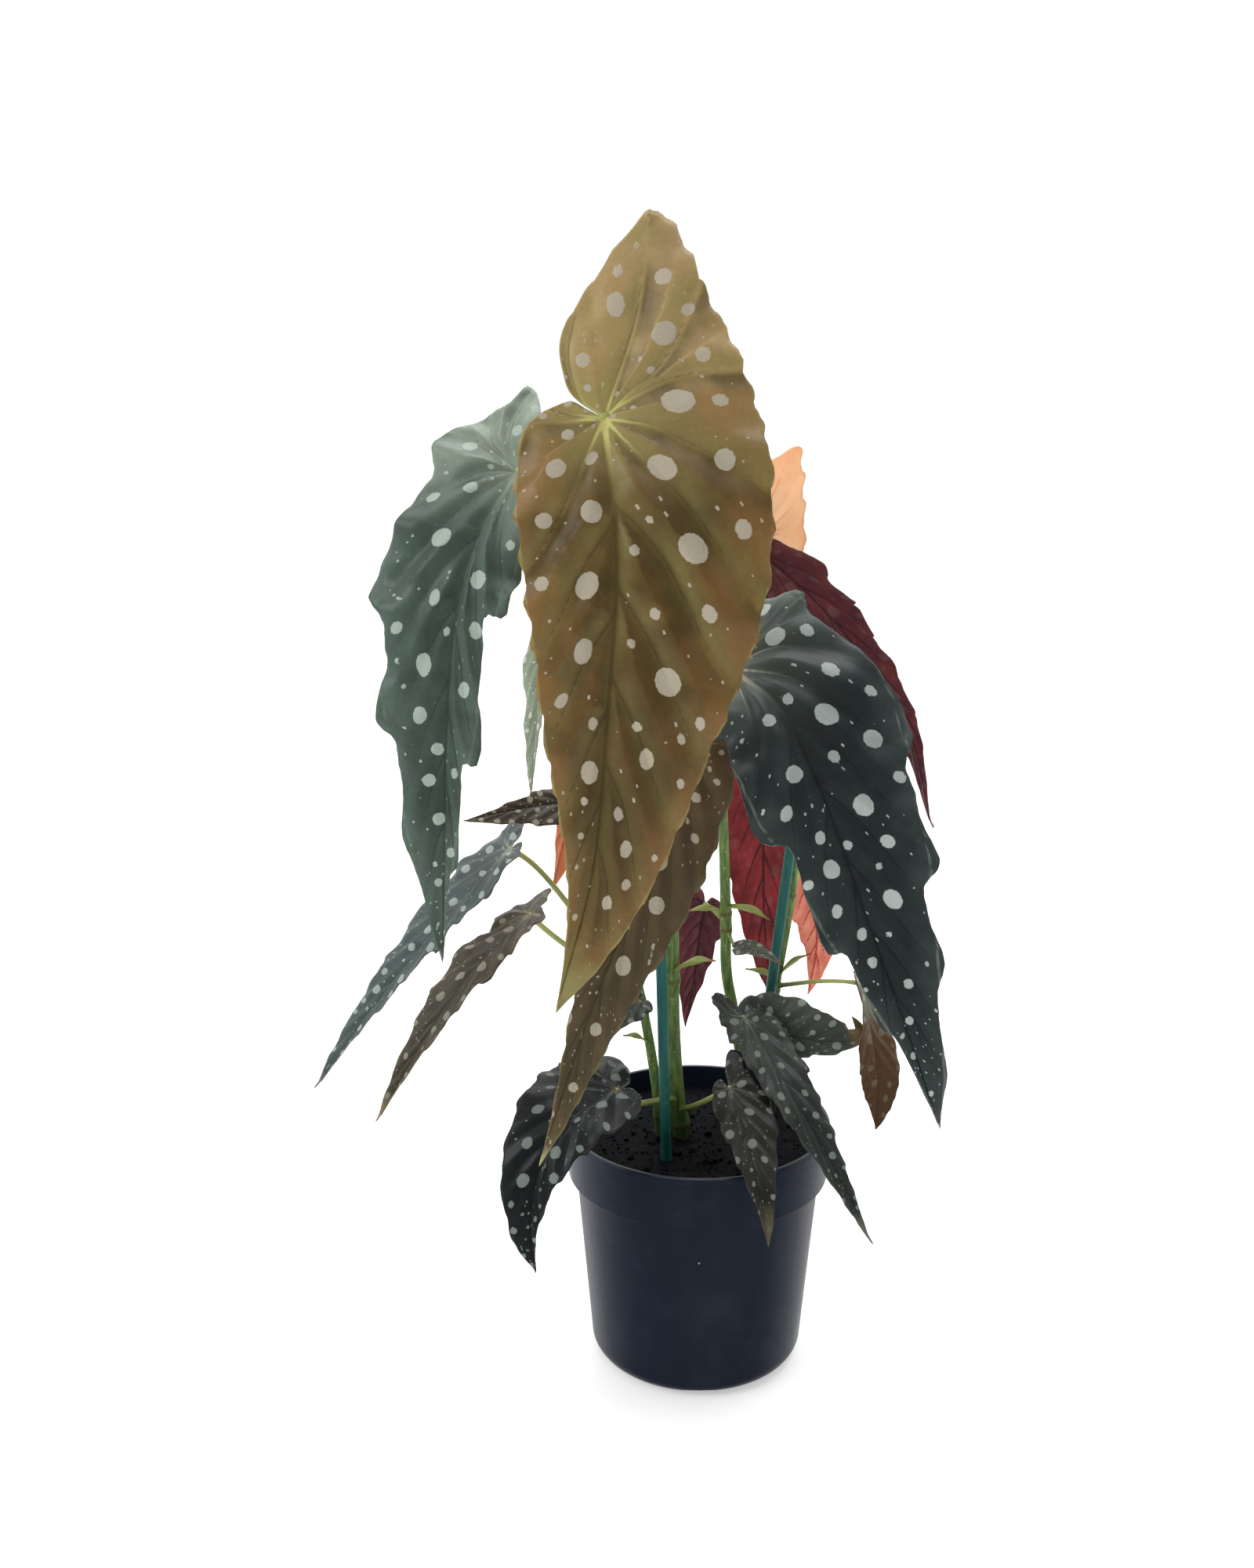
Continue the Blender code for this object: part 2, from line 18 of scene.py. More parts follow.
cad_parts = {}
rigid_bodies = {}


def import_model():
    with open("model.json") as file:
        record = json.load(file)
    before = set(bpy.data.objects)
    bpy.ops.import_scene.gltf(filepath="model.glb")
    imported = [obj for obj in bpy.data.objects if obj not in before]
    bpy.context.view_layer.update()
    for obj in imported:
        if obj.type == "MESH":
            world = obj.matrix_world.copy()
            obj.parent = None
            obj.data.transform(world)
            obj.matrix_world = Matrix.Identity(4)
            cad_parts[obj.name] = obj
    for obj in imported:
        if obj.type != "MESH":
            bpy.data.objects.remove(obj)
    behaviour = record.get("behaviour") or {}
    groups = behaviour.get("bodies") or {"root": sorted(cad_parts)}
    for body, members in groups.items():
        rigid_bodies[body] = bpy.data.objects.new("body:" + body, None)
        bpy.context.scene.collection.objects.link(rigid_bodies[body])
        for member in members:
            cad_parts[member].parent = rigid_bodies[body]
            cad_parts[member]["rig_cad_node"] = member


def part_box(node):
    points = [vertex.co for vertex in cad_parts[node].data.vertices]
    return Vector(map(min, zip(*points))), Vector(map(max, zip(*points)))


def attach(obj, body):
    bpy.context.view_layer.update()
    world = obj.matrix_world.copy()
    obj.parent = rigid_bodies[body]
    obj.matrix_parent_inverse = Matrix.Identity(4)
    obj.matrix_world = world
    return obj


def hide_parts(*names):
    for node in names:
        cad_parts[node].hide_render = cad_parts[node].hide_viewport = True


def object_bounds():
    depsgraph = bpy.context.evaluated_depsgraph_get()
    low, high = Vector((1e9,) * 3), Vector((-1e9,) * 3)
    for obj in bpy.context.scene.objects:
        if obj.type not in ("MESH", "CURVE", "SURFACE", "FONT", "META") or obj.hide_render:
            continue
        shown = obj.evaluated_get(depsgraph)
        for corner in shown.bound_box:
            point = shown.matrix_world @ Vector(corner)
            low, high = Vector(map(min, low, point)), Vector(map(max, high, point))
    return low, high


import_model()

bl_info = {
    "name": "Potted Polka Dot Begonia",
    "version": (1, 0, 0),
    "blender": (4, 5, 0),
    "location": "3D View > Sidebar > Begonia",
    "description": "Models a cane begonia with spotted leaves in its nursery pot",
    "category": "Add Mesh",
}

MM = 0.001
TINY = 1e-12  # keeps a line of no length from dividing by nothing
WELD = 0.005 * MM  # places nearer than this become one
BODY = "root"

CAD_LOW, CAD_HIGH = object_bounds()
_, POT_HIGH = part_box("nursery_pot")
_, PEAT_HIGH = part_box("potting_soil")

# The pot's profile, worked out from its lip
LIP_RADIUS = POT_HIGH.x / MM
POT_HEIGHT = POT_HIGH.z / MM
BAND_HEIGHT = 24.5
BAND_BOTTOM_RADIUS = LIP_RADIUS - 1.0
WALL_TOP_RADIUS = LIP_RADIUS - 4.5
WALL_BOTTOM_RADIUS = LIP_RADIUS - 11.5
FOOT_ROUND = 9.0
WALL = 1.4
LIP_DEPTH = 3.2
LIP_PROUD = 0.7
POT_SIDES = 160
DRAIN_COUNT = 6
DRAIN_SIZE = (12.0, 15.0, 6.0)  # along the radius, across it, and up
DRAIN_ROUND = 1.6
PEAT_SIDES = 140
PEAT_GAP = 0.3  # between the peat and the pot's wall
PEAT_RINGS = 46
CRUMB_REACH = 55  # radius of the area that crumbs lie on

# The camera stands in front, and looks down by the dip
CAMERA_PLACE = (-0.0323, -0.714, 0.453)
CAMERA_DIP = 14.37
FLOOR_SIZE = 12.0

# Soft lights: place, width and watts
LIGHTS = {"key_softbox": ((-1.3, -0.7, 1.3), 0.8, 9), "top_softbox": ((0.2, 0.5, 1.7), 1.4, 16)}

# How finely the round pieces are divided: round them and along them
CANE_GRID = (28, 260)
STICK_GRID = (32, 300)
STALK_GRID = (20, 48)
NODE_SWELL = 0.16  # how much thicker a cane is at a node, as a share

# Canes: centre line from inside the peat upwards, the radius at the foot and the top, and the nodes' heights
Cane = namedtuple("Cane", "path foot top nodes")
CANES = {
    "tall_cane": Cane(
        [(-6, 7, 76), (-7.5, 6, 104), (-10, 4, 125), (-12, 2, 160), (-12.6, -2, 206), (-15, -12, 307),
         (-18, -22, 396)],
        4.9, 2.1, (108, 180, 262, 330, 396),
    ),
    "left_cane": Cane(
        [(-17, 9, 76), (-17, 6, 104), (-20, 2, 135), (-26, 0, 171), (-35, 1, 215), (-42, 4, 258)],
        2.9, 1.8, (112, 168, 188, 226, 258),
    ),
    "middle_cane": Cane(
        [(26, 33, 76), (25, 31, 104), (18, 27, 150), (13.5, 24, 175), (12.6, 22, 204), (10, 18, 258),
         (4, 12, 338)],
        3.1, 2.1, (110, 196, 204, 270, 338),
    ),
    "right_cane": Cane(
        [(36, 30, 76), (35.5, 28.5, 104), (35, 26, 140), (36, 24.5, 166), (42, 24, 209), (45, 22, 262),
         (42, 20, 316)],
        2.7, 1.9, (112, 150, 166, 212, 262, 316),
    ),
}

# Sticks: lower and upper end
STICK_RADIUS = 2.4
STICKS = {
    "left_stick": ((-12.3, -18, 16), (-21.7, -18, 344)),
    "right_stick": ((18, 23.6, 16), (47, 13.4, 298)),
}

# One side of a leaf's outline, from the notch behind the stalk to the tip. Across is in half-widths. Along is
# in blade lengths ahead of the stalk, and in lobe lengths behind it.
WIDE_SIDE = (
    (0, 0), (.02, -.12), (.05, -.24), (.07, -.38), (.12, -.55), (.19, -.69), (.27, -.82), (.36, -.94),
    (.46, -1), (.55, -.97), (.64, -.86), (.74, -.69), (.82, -.48), (.91, -.24), (1, .06), (.98, .2),
    (.91, .32), (.8, .42), (.68, .51), (.56, .61), (.45, .7), (.35, .78), (.22, .88), (.1, .95), (0, 1),
)
NARROW_SIDE = (
    (0, 0), (.15, -.45), (.3, -.92), (.46, -.9), (.66, -.42), (.86, .02), (1, .13), (.94, .27), (.79, .39),
    (.63, .52), (.44, .64), (.25, .76), (.11, .87), (.04, .94), (0, 1),
)
WIDE_SHOULDER = 14
NARROW_SHOULDER = 6
LOBE_LEAN = 0.45  # how far a long back lobe swings across the midrib, in half-widths
NOTCH_SHARE = 0.2  # share of a lobe's outline that is the edge of the notch
FAN_LIMITS = (0.25, 0.45)  # least and greatest share of a blade's rows that fan out from the stalk's end
FINE_TOOTH = 5.5  # from one fine tooth of a margin to the next
CAMBER = 13  # how steeply each half of a blade rises from its midrib
PUCKER, PLEAT, GROOVE = 0.35, 0.9, 0.4  # height of a large blade's puckers and pleats, and depth of its veins
EDGE_LIMIT = 0.93  # spots keep within this share of the way from the midrib to the margin

# Side veins in the outline's units. Those from 0, 0 rise from the stalk, and the rest leave the midrib.
WIDE_VEINS = (
    ((0, 0), (.05, -.1), (.1, -.3), (.14, -.5)),
    ((0, 0), (.33, -.23), (.45, -.51), (.44, -.9)),
    ((0, 0), (.3, -.1), (.56, -.25), (.78, -.62)),
    ((0, 0), (.2, -.05), (.57, -.15), (.94, -.16)),
    ((0, 0), (.3, .025), (.62, .08), (.97, .14)),
    ((0, 0), (.26, .09), (.6, .2), (.9, .29)),
    ((0, .14), (.3, .23), (.6, .36), (.8, .41)),
    ((0, .27), (.25, .36), (.5, .48), (.64, .54)),
    ((0, .41), (.2, .5), (.38, .61), (.5, .66)),
    ((0, .55), (.14, .62), (.26, .72), (.34, .77)),
    ((0, .69), (.1, .75), (.18, .83), (.22, .86)),
)
NARROW_VEINS = (
    ((0, 0), (.3, -.3), (.52, -.9)),
    ((0, 0), (.4, 0), (.75, -.06), (.95, .04)),
    ((0, 0), (.34, .09), (.7, .19), (.95, .25)),
    ((0, .16), (.34, .24), (.66, .36), (.82, .39)),
    ((0, .31), (.28, .39), (.52, .5), (.64, .52)),
    ((0, .46), (.2, .54), (.38, .63), (.46, .66)),
    ((0, .61), (.14, .68), (.24, .76), (.3, .79)),
)

# Leaves. Midrib runs from the stalk's end to the tip. Faces are (azimuth, elevation) of the upper side's
# normal at the stalk and at the tip, with 0 towards -Y and 90 towards +X. Hand is 1 where the wide half is on
# the left of someone who stands on the upper side and looks back from the tip, and -1 where it is on the
# right. Scallop is the depth of the margin's bays, and wave the height of its ruffle. Blunt is under 1 where
# the blade stays broad towards its tip.
Leaf = namedtuple(
    "Leaf", "cane height midrib faces wide narrow lobe ear hand stalk scallop wave blunt", defaults=(1,)
)
LEAVES = {
    "front_leaf": Leaf(
        "tall_cane", 394,
        [(-40, -132, 430), (-35.5, -146, 388), (-38.5, -152, 336), (-44, -150, 278), (-57.5, -146, 224)],
        ((2, 5), (2, 5)), 53, 33, 72, 7, 1, 2.0, 0.9, 1.6,
    ),
    "front_lower_leaf": Leaf(
        "tall_cane", 330, [(-11, -84, 307), (-26, -94, 257), (-46, -104, 207), (-66.5, -108, 144.5)],
        ((5, 10), (5, 10)), 23, 17, 26, 7, 1, 1.7, 0.9, 1.4,
    ),
    "left_leaf": Leaf(
        "tall_cane", 362,
        [(-74, -58, 407), (-86, -70, 388), (-95, -78, 362), (-100, -80, 327), (-103.5, -74, 273),
         (-107, -62, 212)],
        ((-22, 18), (-6, 0)), 34, 18, 36, 8, -1, 1.9, 4.4, 3.2,
    ),
    "right_leaf": Leaf(
        "right_cane", 314,
        [(6, -92, 338), (24.5, -108, 324), (41, -116, 290), (57.5, -114, 246), (72, -108, 208),
         (91, -96, 155)],
        ((5, 20), (5, 5)), 38, 27, 16, 9, 1, 1.9, 4.0, 3.2,
    ),
    "back_young_leaf": Leaf(
        "middle_cane", 336, [(16, 43, 370), (8, 54, 332), (0, 58, 292), (-10, 56, 252)],
        ((170, 5), (175, 0)), 32, 17, 50, 8, -1, 1.5, 1.0, 1.4,
    ),
    "right_back_leaf": Leaf(
        "right_cane", 290, [(24, 8, 369), (46, 14, 350), (70, 18, 323), (91, 15, 291), (102, 8, 248)],
        ((160, 40), (125, 10)), 18, 16, 16, 6, 1, 1.5, 1.2, 1.8,
    ),
    "left_back_leaf": Leaf(
        "left_cane", 256, [(-58, 14, 350), (-68, 10, 328), (-71.5, 6, 296), (-74, 3, 264)],
        ((-60, 20), (-50, 0)), 14, 10, 15, 6, -1, 1.3, 1.0, 1.6,
    ),
    "left_small_leaf": Leaf(
        "left_cane", 224, [(-42, -24, 268), (-60, -36, 271), (-80, -46, 270.5), (-98.5, -52, 268)],
        ((0, 40), (0, 30)), 13, 9, 10, 4, 1, 1.2, 0.9, 1.2,
    ),
    "left_long_leaf": Leaf(
        "left_cane", 190,
        [(-82, -22, 247), (-100, -30, 230), (-121.5, -36, 206), (-143.5, -40, 177.5), (-165, -42, 147)],
        ((-60, 40), (-50, 20)), 18, 12, 14, 6, -1, 1.3, 1.0, 1.6,
    ),
    "left_brown_leaf": Leaf(
        "left_cane", 182,
        [(-73, -40, 224), (-83.5, -56, 218), (-98.5, -70, 205), (-114, -80, 184), (-132.5, -86, 152.5)],
        ((-50, 40), (-40, 20)), 15, 11, 24, 5, -1, 1.3, 1.0, 1.6,
    ),
    "back_left_leaf": Leaf(
        "left_cane", 250, [(-44, 32, 300), (-51, 30, 270), (-59, 25, 245), (-66, 18, 216)],
        ((175, 5), (175, 5)), 18, 13, 14, 6, -1, 1.3, 0.9, 1.3,
    ),
    "rim_left_leaf": Leaf(
        "tall_cane", 122,
        [(-37, -40, 145), (-53.5, -66, 145), (-67.5, -80, 129), (-72, -84, 105), (-70, -80, 82)],
        ((-15, 50), (-15, 0)), 26, 17, 24, 6, -1, 1.4, 1.0, 0.8,
    ),
    "upper_rim_leaf": Leaf(
        "left_cane", 165, [(-27, -14, 175), (-37, -28, 174), (-48, -38, 169), (-58, -45, 160)],
        ((-10, 60), (-20, 30)), 12, 9, 10, 4, -1, 1.0, 0.4, 0.2,
    ),
    "rim_front_leaf": Leaf(
        "tall_cane", 116, [(12, -34, 143), (17.5, -48, 131), (22.5, -66, 113), (26.5, -76, 91)],
        ((8, 40), (5, 10)), 15, 10, 19, 6, 1, 1.2, 0.7, 1.1,
    ),
    "rim_right_leaf": Leaf(
        "middle_cane", 118,
        [(20, -4, 163.5), (31, -26, 152), (44.5, -46, 133.5), (59.5, -54, 108), (73, -54, 80)],
        ((5, 45), (25, 15)), 11, 13, 22, 6, -1, 1.2, 0.8, 1.2,
    ),
    "curled_leaf": Leaf(
        "middle_cane", 140,
        [(27, 3, 153), (41.5, -6, 155), (57, -11, 155), (68, -14, 157), (71, -17, 164), (66, -18, 170)],
        ((0, 12), (-10, 12)), 19, 10, 12, 5, 1, 1.1, 0.8, 1.4,
    ),
    "right_hanging_leaf": Leaf(
        "right_cane", 168, [(68, -14, 184), (73.5, -19, 166), (78, -21, 142), (78, -20, 117)],
        ((88, 10), (-12, 0)), 13, 11, 5, 4, 1, 1.0, 0.2, 1.0, 0.5,
    ),
    "back_red_leaf": Leaf(
        "right_cane", 258, [(28, 44, 286), (30.5, 46, 260), (31, 45, 228), (32, 41, 192), (36, 36, 156)],
        ((180, 0), (180, 0)), 25, 20, 16, 7, 1, 1.5, 1.0, 1.6,
    ),
    "back_pink_leaf": Leaf(
        "right_cane", 208, [(50, 54, 216), (57, 55, 194), (58, 53, 175), (54, 48, 154)],
        ((180, 5), (180, 5)), 18, 14, 12, 5, -1, 1.1, 0.8, 1.2,
    ),
    "back_purple_leaf": Leaf(
        "middle_cane", 200, [(4, 38, 203), (1.5, 38, 188), (-1, 35, 168), (-5, 30, 145)],
        ((180, 10), (180, 0)), 13, 10, 9, 4, 1, 1.0, 0.7, 1.1,
    ),
    "middle_small_leaf": Leaf(
        "middle_cane", 194, [(17, 10, 191), (23, 6, 192), (30, 3, 190), (37, 2, 186)],
        ((0, 65), (0, 55)), 6, 4, 4, 2, 1, 0.7, 0.3, 0.5,
    ),
}

SPOT_SHARE = 0.9  # a placed spot's true radius, as a share of the one in the table

# The large spots of the largest leaves: across from the midrib, along from the stalk's end, and radius
SPOTS = {
    "front_leaf": (
        (17, -59, 1.6), (10, -50, 2.4), (8, -38, 4.2), (25, -46, 3.3), (32, -34, 2.6), (23, -26, 4.6),
        (-5, -20, 2.8), (35, -17, 2.9), (17, -14, 1.4), (25, -2, 5.4), (39, -1, 2.8), (10, -2, 1.2),
        (-18, 16, 3.6), (17, 20, 4.8), (38, 20, 3.9), (-8, 32, 4.2), (-24, 34, 3.2), (11, 36, 1.5),
        (42, 40, 3.1), (25, 45, 5.2), (-10, 57, 4.7), (-25, 57, 2.8), (13, 65, 2.1), (31, 64, 3),
        (-10, 79, 4.1), (19, 87, 5.2), (-16, 96, 2.6), (31, 100, 2.3), (-5, 103, 2.1), (10, 103, 2.1),
        (25, 106, 1.9), (14, 114, 3.4), (-5, 120, 3.8), (26, 121, 1.8), (6, 134, 2.3), (-6, 130, 1.5),
        (10, 146, 2.8), (20, 147, 1.4), (12, 158, 2), (7, 166, 2.4),
    ),
    "front_lower_leaf": (
        (10, 18, 2.2), (14, 33, 2), (4, 45, 3.4), (8, 61, 3.6), (5, 87, 3.8), (-9, 89, 2.2), (-8, 113, 2.4),
        (4, 114, 2.8), (-6, 136, 2.1), (3, 139, 2.2), (-8, 30, 2.4), (-10, 60, 2.8), (16, 10, 1.6),
        (-2, 152, 1.6),
    ),
    "left_leaf": (
        (-8, -28, 2.2), (-9, -16, 2.8), (-22, -2, 3.1), (-12, 14, 3), (-24, 22, 2.6), (-13, 35, 4.2),
        (6, 46, 4), (-9, 56, 3), (9, 65, 3.3), (-22, 69, 2.6), (-10, 81, 4.2), (7, 88, 3.2), (-10, 100, 3.3),
        (-3, 113, 2.7), (-6, 126, 2.9), (4, 122, 2), (-2, 142, 2.8), (3, 156, 2.2), (-2, 170, 1.8),
        (12, 10, 2.8), (14, 30, 2.2),
    ),
    "right_leaf": (
        (25, -7, 3), (28, 14, 2.4), (19, 7, 4), (23, 26, 2.8), (13, 36, 4.4), (-6, 28, 2.8), (25, 50, 4),
        (9, 50, 2.6), (-7, 50, 3.6), (12, 70, 4.2), (-7, 75, 2.7), (2, 82, 2), (16, 86, 3), (-7, 88, 3.8),
        (11, 108, 4.2), (-10, 104, 2.5), (-4, 117, 2.5), (-4, 129, 2.3), (6, 144, 2.3), (-15, 62, 3),
        (-17, 90, 2.4), (2, 160, 2), (-1, 176, 1.6), (31, 36, 2.2), (28, 66, 2.6),
    ),
}

# Colours of a leaf: two tones of its upper side, its lobe (lighter on the largest leaves partly as a painted
# sheen), the green beside its veins, its grooves (dark partly as painted shade), the pale star of veins,
# spots and dry tip, and two tones and the veins of its underside. Dry is how much of the blade the dry tip
# takes. The
# next share is painted backlight: how far the underside's red shows between the veins, as if lit from behind.
Look = namedtuple(
    "Look", "shade light lobe green groove vein spot tip dry blush under_shade under_light under_vein"
)


def look_of(upper, dry, blush, under):
    """A leaf's look, from the hex codes of its upper side's eight colours and of its underside's three."""
    upper, under = (["#" + code for code in codes.split()] for codes in (upper, under))
    return Look(*upper, dry, blush, *under)


LOOKS = {
    "front_leaf": look_of(
        "51421f 876a3c b9a06c 857c46 45351a cfcb7c b9af9b 8c8350", 0.13, 0.3, "7a3a28 844c28 5c2a22"
    ),
    "front_lower_leaf": look_of(
        "4a402d 63543a 584a36 57502f 3f3624 a59f64 aea793 a6a274", 0.06, 0.2, "6e2d2a 8a4234 4f2220"
    ),
    "left_leaf": look_of(
        "3a4a43 5c6e62 a6b4a0 4c5f52 26332e 8a9a84 aebdb1 4c5a50", 0.04, 0.0, "4c2530 66323a 3a1a24"
    ),
    "right_leaf": look_of(
        "242d2f 3b4746 5f6d64 27312f 141a1b b4bca8 b4beba 50504a", 0.05, 0.0, "5a1c26 742a32 40141c"
    ),
    # Painted light: this underside's peach tones are its red lightened, as if lit through from behind
    "back_young_leaf": look_of(
        "8a7a4a b09058 c29a62 8e8a50 7a6840 c8b880 d8c8a0 b09058", 0.02, 0.3, "f0b080 f8cda2 dd9c6a"
    ),
    "right_back_leaf": look_of(
        "4c564e 66706a 5d655c 566052 3a423a 8a9484 a8b0a8 8a8460", 0.05, 0.1, "481d28 6e2a2c 36121c"
    ),
    "left_back_leaf": look_of(
        "76856f 97a58d 9aa892 76856c 5c6a56 a8b49c c8d0c0 8a9478", 0.04, 0.0, "5e1e2c 7a2c38 48161f"
    ),
    "left_small_leaf": look_of(
        "2c2a20 4a4536 3c392c 38362a 1e1c16 6c6850 aaa590 5c5644", 0.05, 0.1, "52282a 663432 3c1c1e"
    ),
    "left_long_leaf": look_of(
        "38464a 56645f 4a5550 4c5852 2c3632 8a9488 a8b2ac 787d70", 0.07, 0.0, "561c28 702c36 40141e"
    ),
    "left_brown_leaf": look_of(
        "2e2c24 4b4435 64665a 46442f 282620 8c8868 8f8b7a 8f8568", 0.12, 0.15, "5c2c28 703a32 44201e"
    ),
    # Painted light: this underside's orange tones are its red lightened, as if lit through from behind
    "back_left_leaf": look_of(
        "6e6a48 8a8058 7e7650 6c6844 545034 9a9468 c8c0a0 8a7a50", 0.04, 0.3, "b4623e cc7c54 964a30"
    ),
    "rim_left_leaf": look_of(
        "12181b 242a2a 151b1d 202625 121718 5a5e54 7f8a84 484840", 0.05, 0.05, "44202a 5a2c34 30161e"
    ),
    "upper_rim_leaf": look_of(
        "262c26 383f36 2c322a 2e342c 181c18 565c4e 848d84 504e3a", 0.07, 0.05, "44242a 583034 301a1e"
    ),
    "rim_front_leaf": look_of(
        "161b1c 2a2923 14191b 2a2c26 131615 5a5c4e 7a7f79 5a543f", 0.25, 0.08, "44242a 583034 301a1e"
    ),
    "rim_right_leaf": look_of(
        "181e1e 343a35 151a18 363e38 171c1b 6a7468 7a837c 66665a", 0.15, 0.04, "44242a 583034 301a1e"
    ),
    "curled_leaf": look_of(
        "333c37 505a50 464e46 4a5448 2a302a 7a8474 929a90 83704a", 0.34, 0.08, "5c3028 7c4630 44221e"
    ),
    "right_hanging_leaf": look_of(
        "56624f 6e7a64 6c7868 5e6a50 3c4636 8a8468 a8a89a 563c22", 1.05, 0.1, "4e2c24 684030 3a1e1a"
    ),
    # Partly painted light: this underside's bright red is lightened, as if lit through from behind
    "back_red_leaf": look_of(
        "4a5048 5c645a 565e54 4c543f 343c34 8a927c a8b0a8 6a6048", 0.05, 0.1, "70242a a4343a 40141a"
    ),
    # Painted light: this underside's pink tones are its red lightened, as if lit through from behind
    "back_pink_leaf": look_of(
        "5c6450 707860 6a725c 5c6648 444c38 98a080 b4b8a0 8a7450", 0.05, 0.1, "cc6450 ec9680 98302c"
    ),
    "back_purple_leaf": look_of(
        "4a4a48 5e5c58 56544e 4c4a42 34322e 84827a a8a8a0 a8582c", 0.1, 0.1, "5a2834 7c3c44 381c26"
    ),
    "middle_small_leaf": look_of(
        "48524a 60635a 52534a 525a4c 30362e 7c8474 a0a498 766a4c", 0.2, 0.05, "54303a 683c42 3c2028"
    ),
}

# What each blade's mesh carries: distances from a vein, in that vein's half-widths and in millimetres, the
# side of the vein, nearness to the stalk, millimetres to the nearest spot's edge and to the margin, and the
# share of the blade's length
FIELDS = ("vein", "ridge", "flank", "star", "spot", "margin", "share")

# Painted light: how strongly the thinnest blades' undersides glow with their own colour, standing in
# for light from behind that comes through them
PAINTED_GLOW = {
    "back_young_leaf": 0.3, "back_pink_leaf": 0.34, "back_red_leaf": 0.14, "right_back_leaf": 0.06,
    "back_left_leaf": 0.2, "back_purple_leaf": 0.08,
}

BRACT_THICKNESS = 0.35 * MM

# Bracts: small pointed scales at a cane's node: cane, height, azimuth, elevation, length, half-width
BRACTS = {
    "middle_bract_left": ("middle_cane", 203, -80, 20, 16, 3.4),
    "middle_bract_right": ("middle_cane", 206, 60, 8, 20, 3.6),
    "right_bract_left": ("right_cane", 170, -98, 35, 13, 3.2),
    "right_bract_upper": ("right_cane", 172, 80, 55, 17, 3.0),
    "tall_bract": ("tall_cane", 183, 62, 38, 20, 4.6),
    "left_bract": ("left_cane", 150, -60, 40, 13, 2.8),
}


class PotSettings(bpy.types.PropertyGroup):
    """The nursery pot and the peat in it."""

    plastic: FloatVectorProperty(
        name="Plastic", description="Colour of the moulded plastic", subtype="COLOR", size=3,
        default=(0.0085, 0.0155, 0.033), min=0, max=1,
    )
    crumbs: IntProperty(name="Crumbs", description="Loose crumbs on the peat", default=520, min=0, max=4000)
    relief: FloatProperty(
        name="Peat Relief", description="Height of the peat's lumps", default=1.3 * MM, unit="LENGTH", min=0,
    )


class LeafSettings(bpy.types.PropertyGroup):
    """What all leaves share."""

    thickness: FloatProperty(
        name="Thickness", description="Thickness of a blade", default=0.45 * MM, unit="LENGTH", min=0.1 * MM,
    )
    mesh_step: FloatProperty(
        name="Mesh Step", description="Size of a blade's faces", default=1.25 * MM,
        unit="LENGTH", min=0.5 * MM,
    )
    quilting: FloatProperty(
        name="Quilting", description="How far a blade swells between its veins", default=2.6 * MM,
        unit="LENGTH",
    )
    spot_radius: FloatProperty(
        name="Spot Radius", description="Radius of the largest spots on the largest leaf", default=4.6 * MM,
        unit="LENGTH", min=0,
    )


class StageSettings(bpy.types.PropertyGroup):
    """The floor, light and camera."""

    floor: FloatVectorProperty(
        name="Floor", description="Colour of the paper sweep", subtype="COLOR", size=3,
        default=(0.9, 0.9, 0.9), min=0, max=1,
    )
    glow: FloatProperty(name="Glow", description="Strength of light from below", default=0.45, min=0)
    sky: FloatProperty(name="Sky", description="Strength of the light from all round", default=1.0, min=0)
    lens: FloatProperty(name="Lens", description="Focal length", default=39.1, unit="CAMERA", min=1)


# Small tools


def smooth_line(points, steps=16):
    """A Catmull-Rom curve through the points, as an array of closely spaced places."""
    points = np.array(points, float)
    ends = np.vstack([2 * points[0] - points[1], points, 2 * points[-1] - points[-2]])
    t = (np.arange(steps) / steps)[:, None]
    spans = [
        0.5 * (2 * b + (c - a) * t + (2 * a - 5 * b + 4 * c - d) * t**2 + (3 * b - a - 3 * c + d) * t**3)
        for a, b, c, d in zip(ends, ends[1:], ends[2:], ends[3:])
    ]
    return np.vstack([*spans, points[-1:]])


def reach_of(line):
    """Distance from the start of a polyline to each of its points."""
    return np.concatenate([[0.0], np.cumsum(np.linalg.norm(np.diff(line, axis=0), axis=1))])


def along_line(line, distances):
    """The places at those distances along a polyline."""
    reach = reach_of(line)
    return np.stack([np.interp(distances, reach, axis) for axis in line.T], axis=-1)


def line_gap(points, line):
    """Each point's distance to a polyline, the share of the line at the nearest place, and its side there."""
    reach = reach_of(line)
    best = np.full(len(points), np.inf)
    share, side = np.zeros(len(points)), np.zeros(len(points))
    for start, end, run in zip(line, line[1:], reach):
        step, offset = end - start, points - start
        along = np.clip(offset @ step / max(step @ step, TINY), 0, 1)
        gap = np.linalg.norm(offset - along[:, None] * step, axis=1)
        nearer = gap < best
        best = np.where(nearer, gap, best)
        share = np.where(nearer, (run + along * np.linalg.norm(step)) / reach[-1], share)
        side = np.where(nearer, np.sign(step[0] * offset[:, 1] - step[1] * offset[:, 0]), side)
    return best, share, side


def direction(azimuth, elevation):
    """Azimuth 0 is towards -Y and 90 towards +X."""
    a, e = math.radians(azimuth), math.radians(elevation)
    return np.array((math.sin(a) * math.cos(e), -math.cos(a) * math.cos(e), math.sin(e)))


def unit(vectors):
    return vectors / np.linalg.norm(vectors, axis=-1, keepdims=True)


def smoothstep(low, high, value):
    t = np.clip((value - low) / (high - low), 0, 1)
    return t * t * (3 - 2 * t)


def linear(code):
    """An sRGB hex colour as a linear one."""
    channels = [int(code[i : i + 2], 16) / 255 for i in (1, 3, 5)]
    return (*(c / 12.92 if c <= 0.04045 else ((c + 0.055) / 1.055) ** 2.4 for c in channels), 1.0)


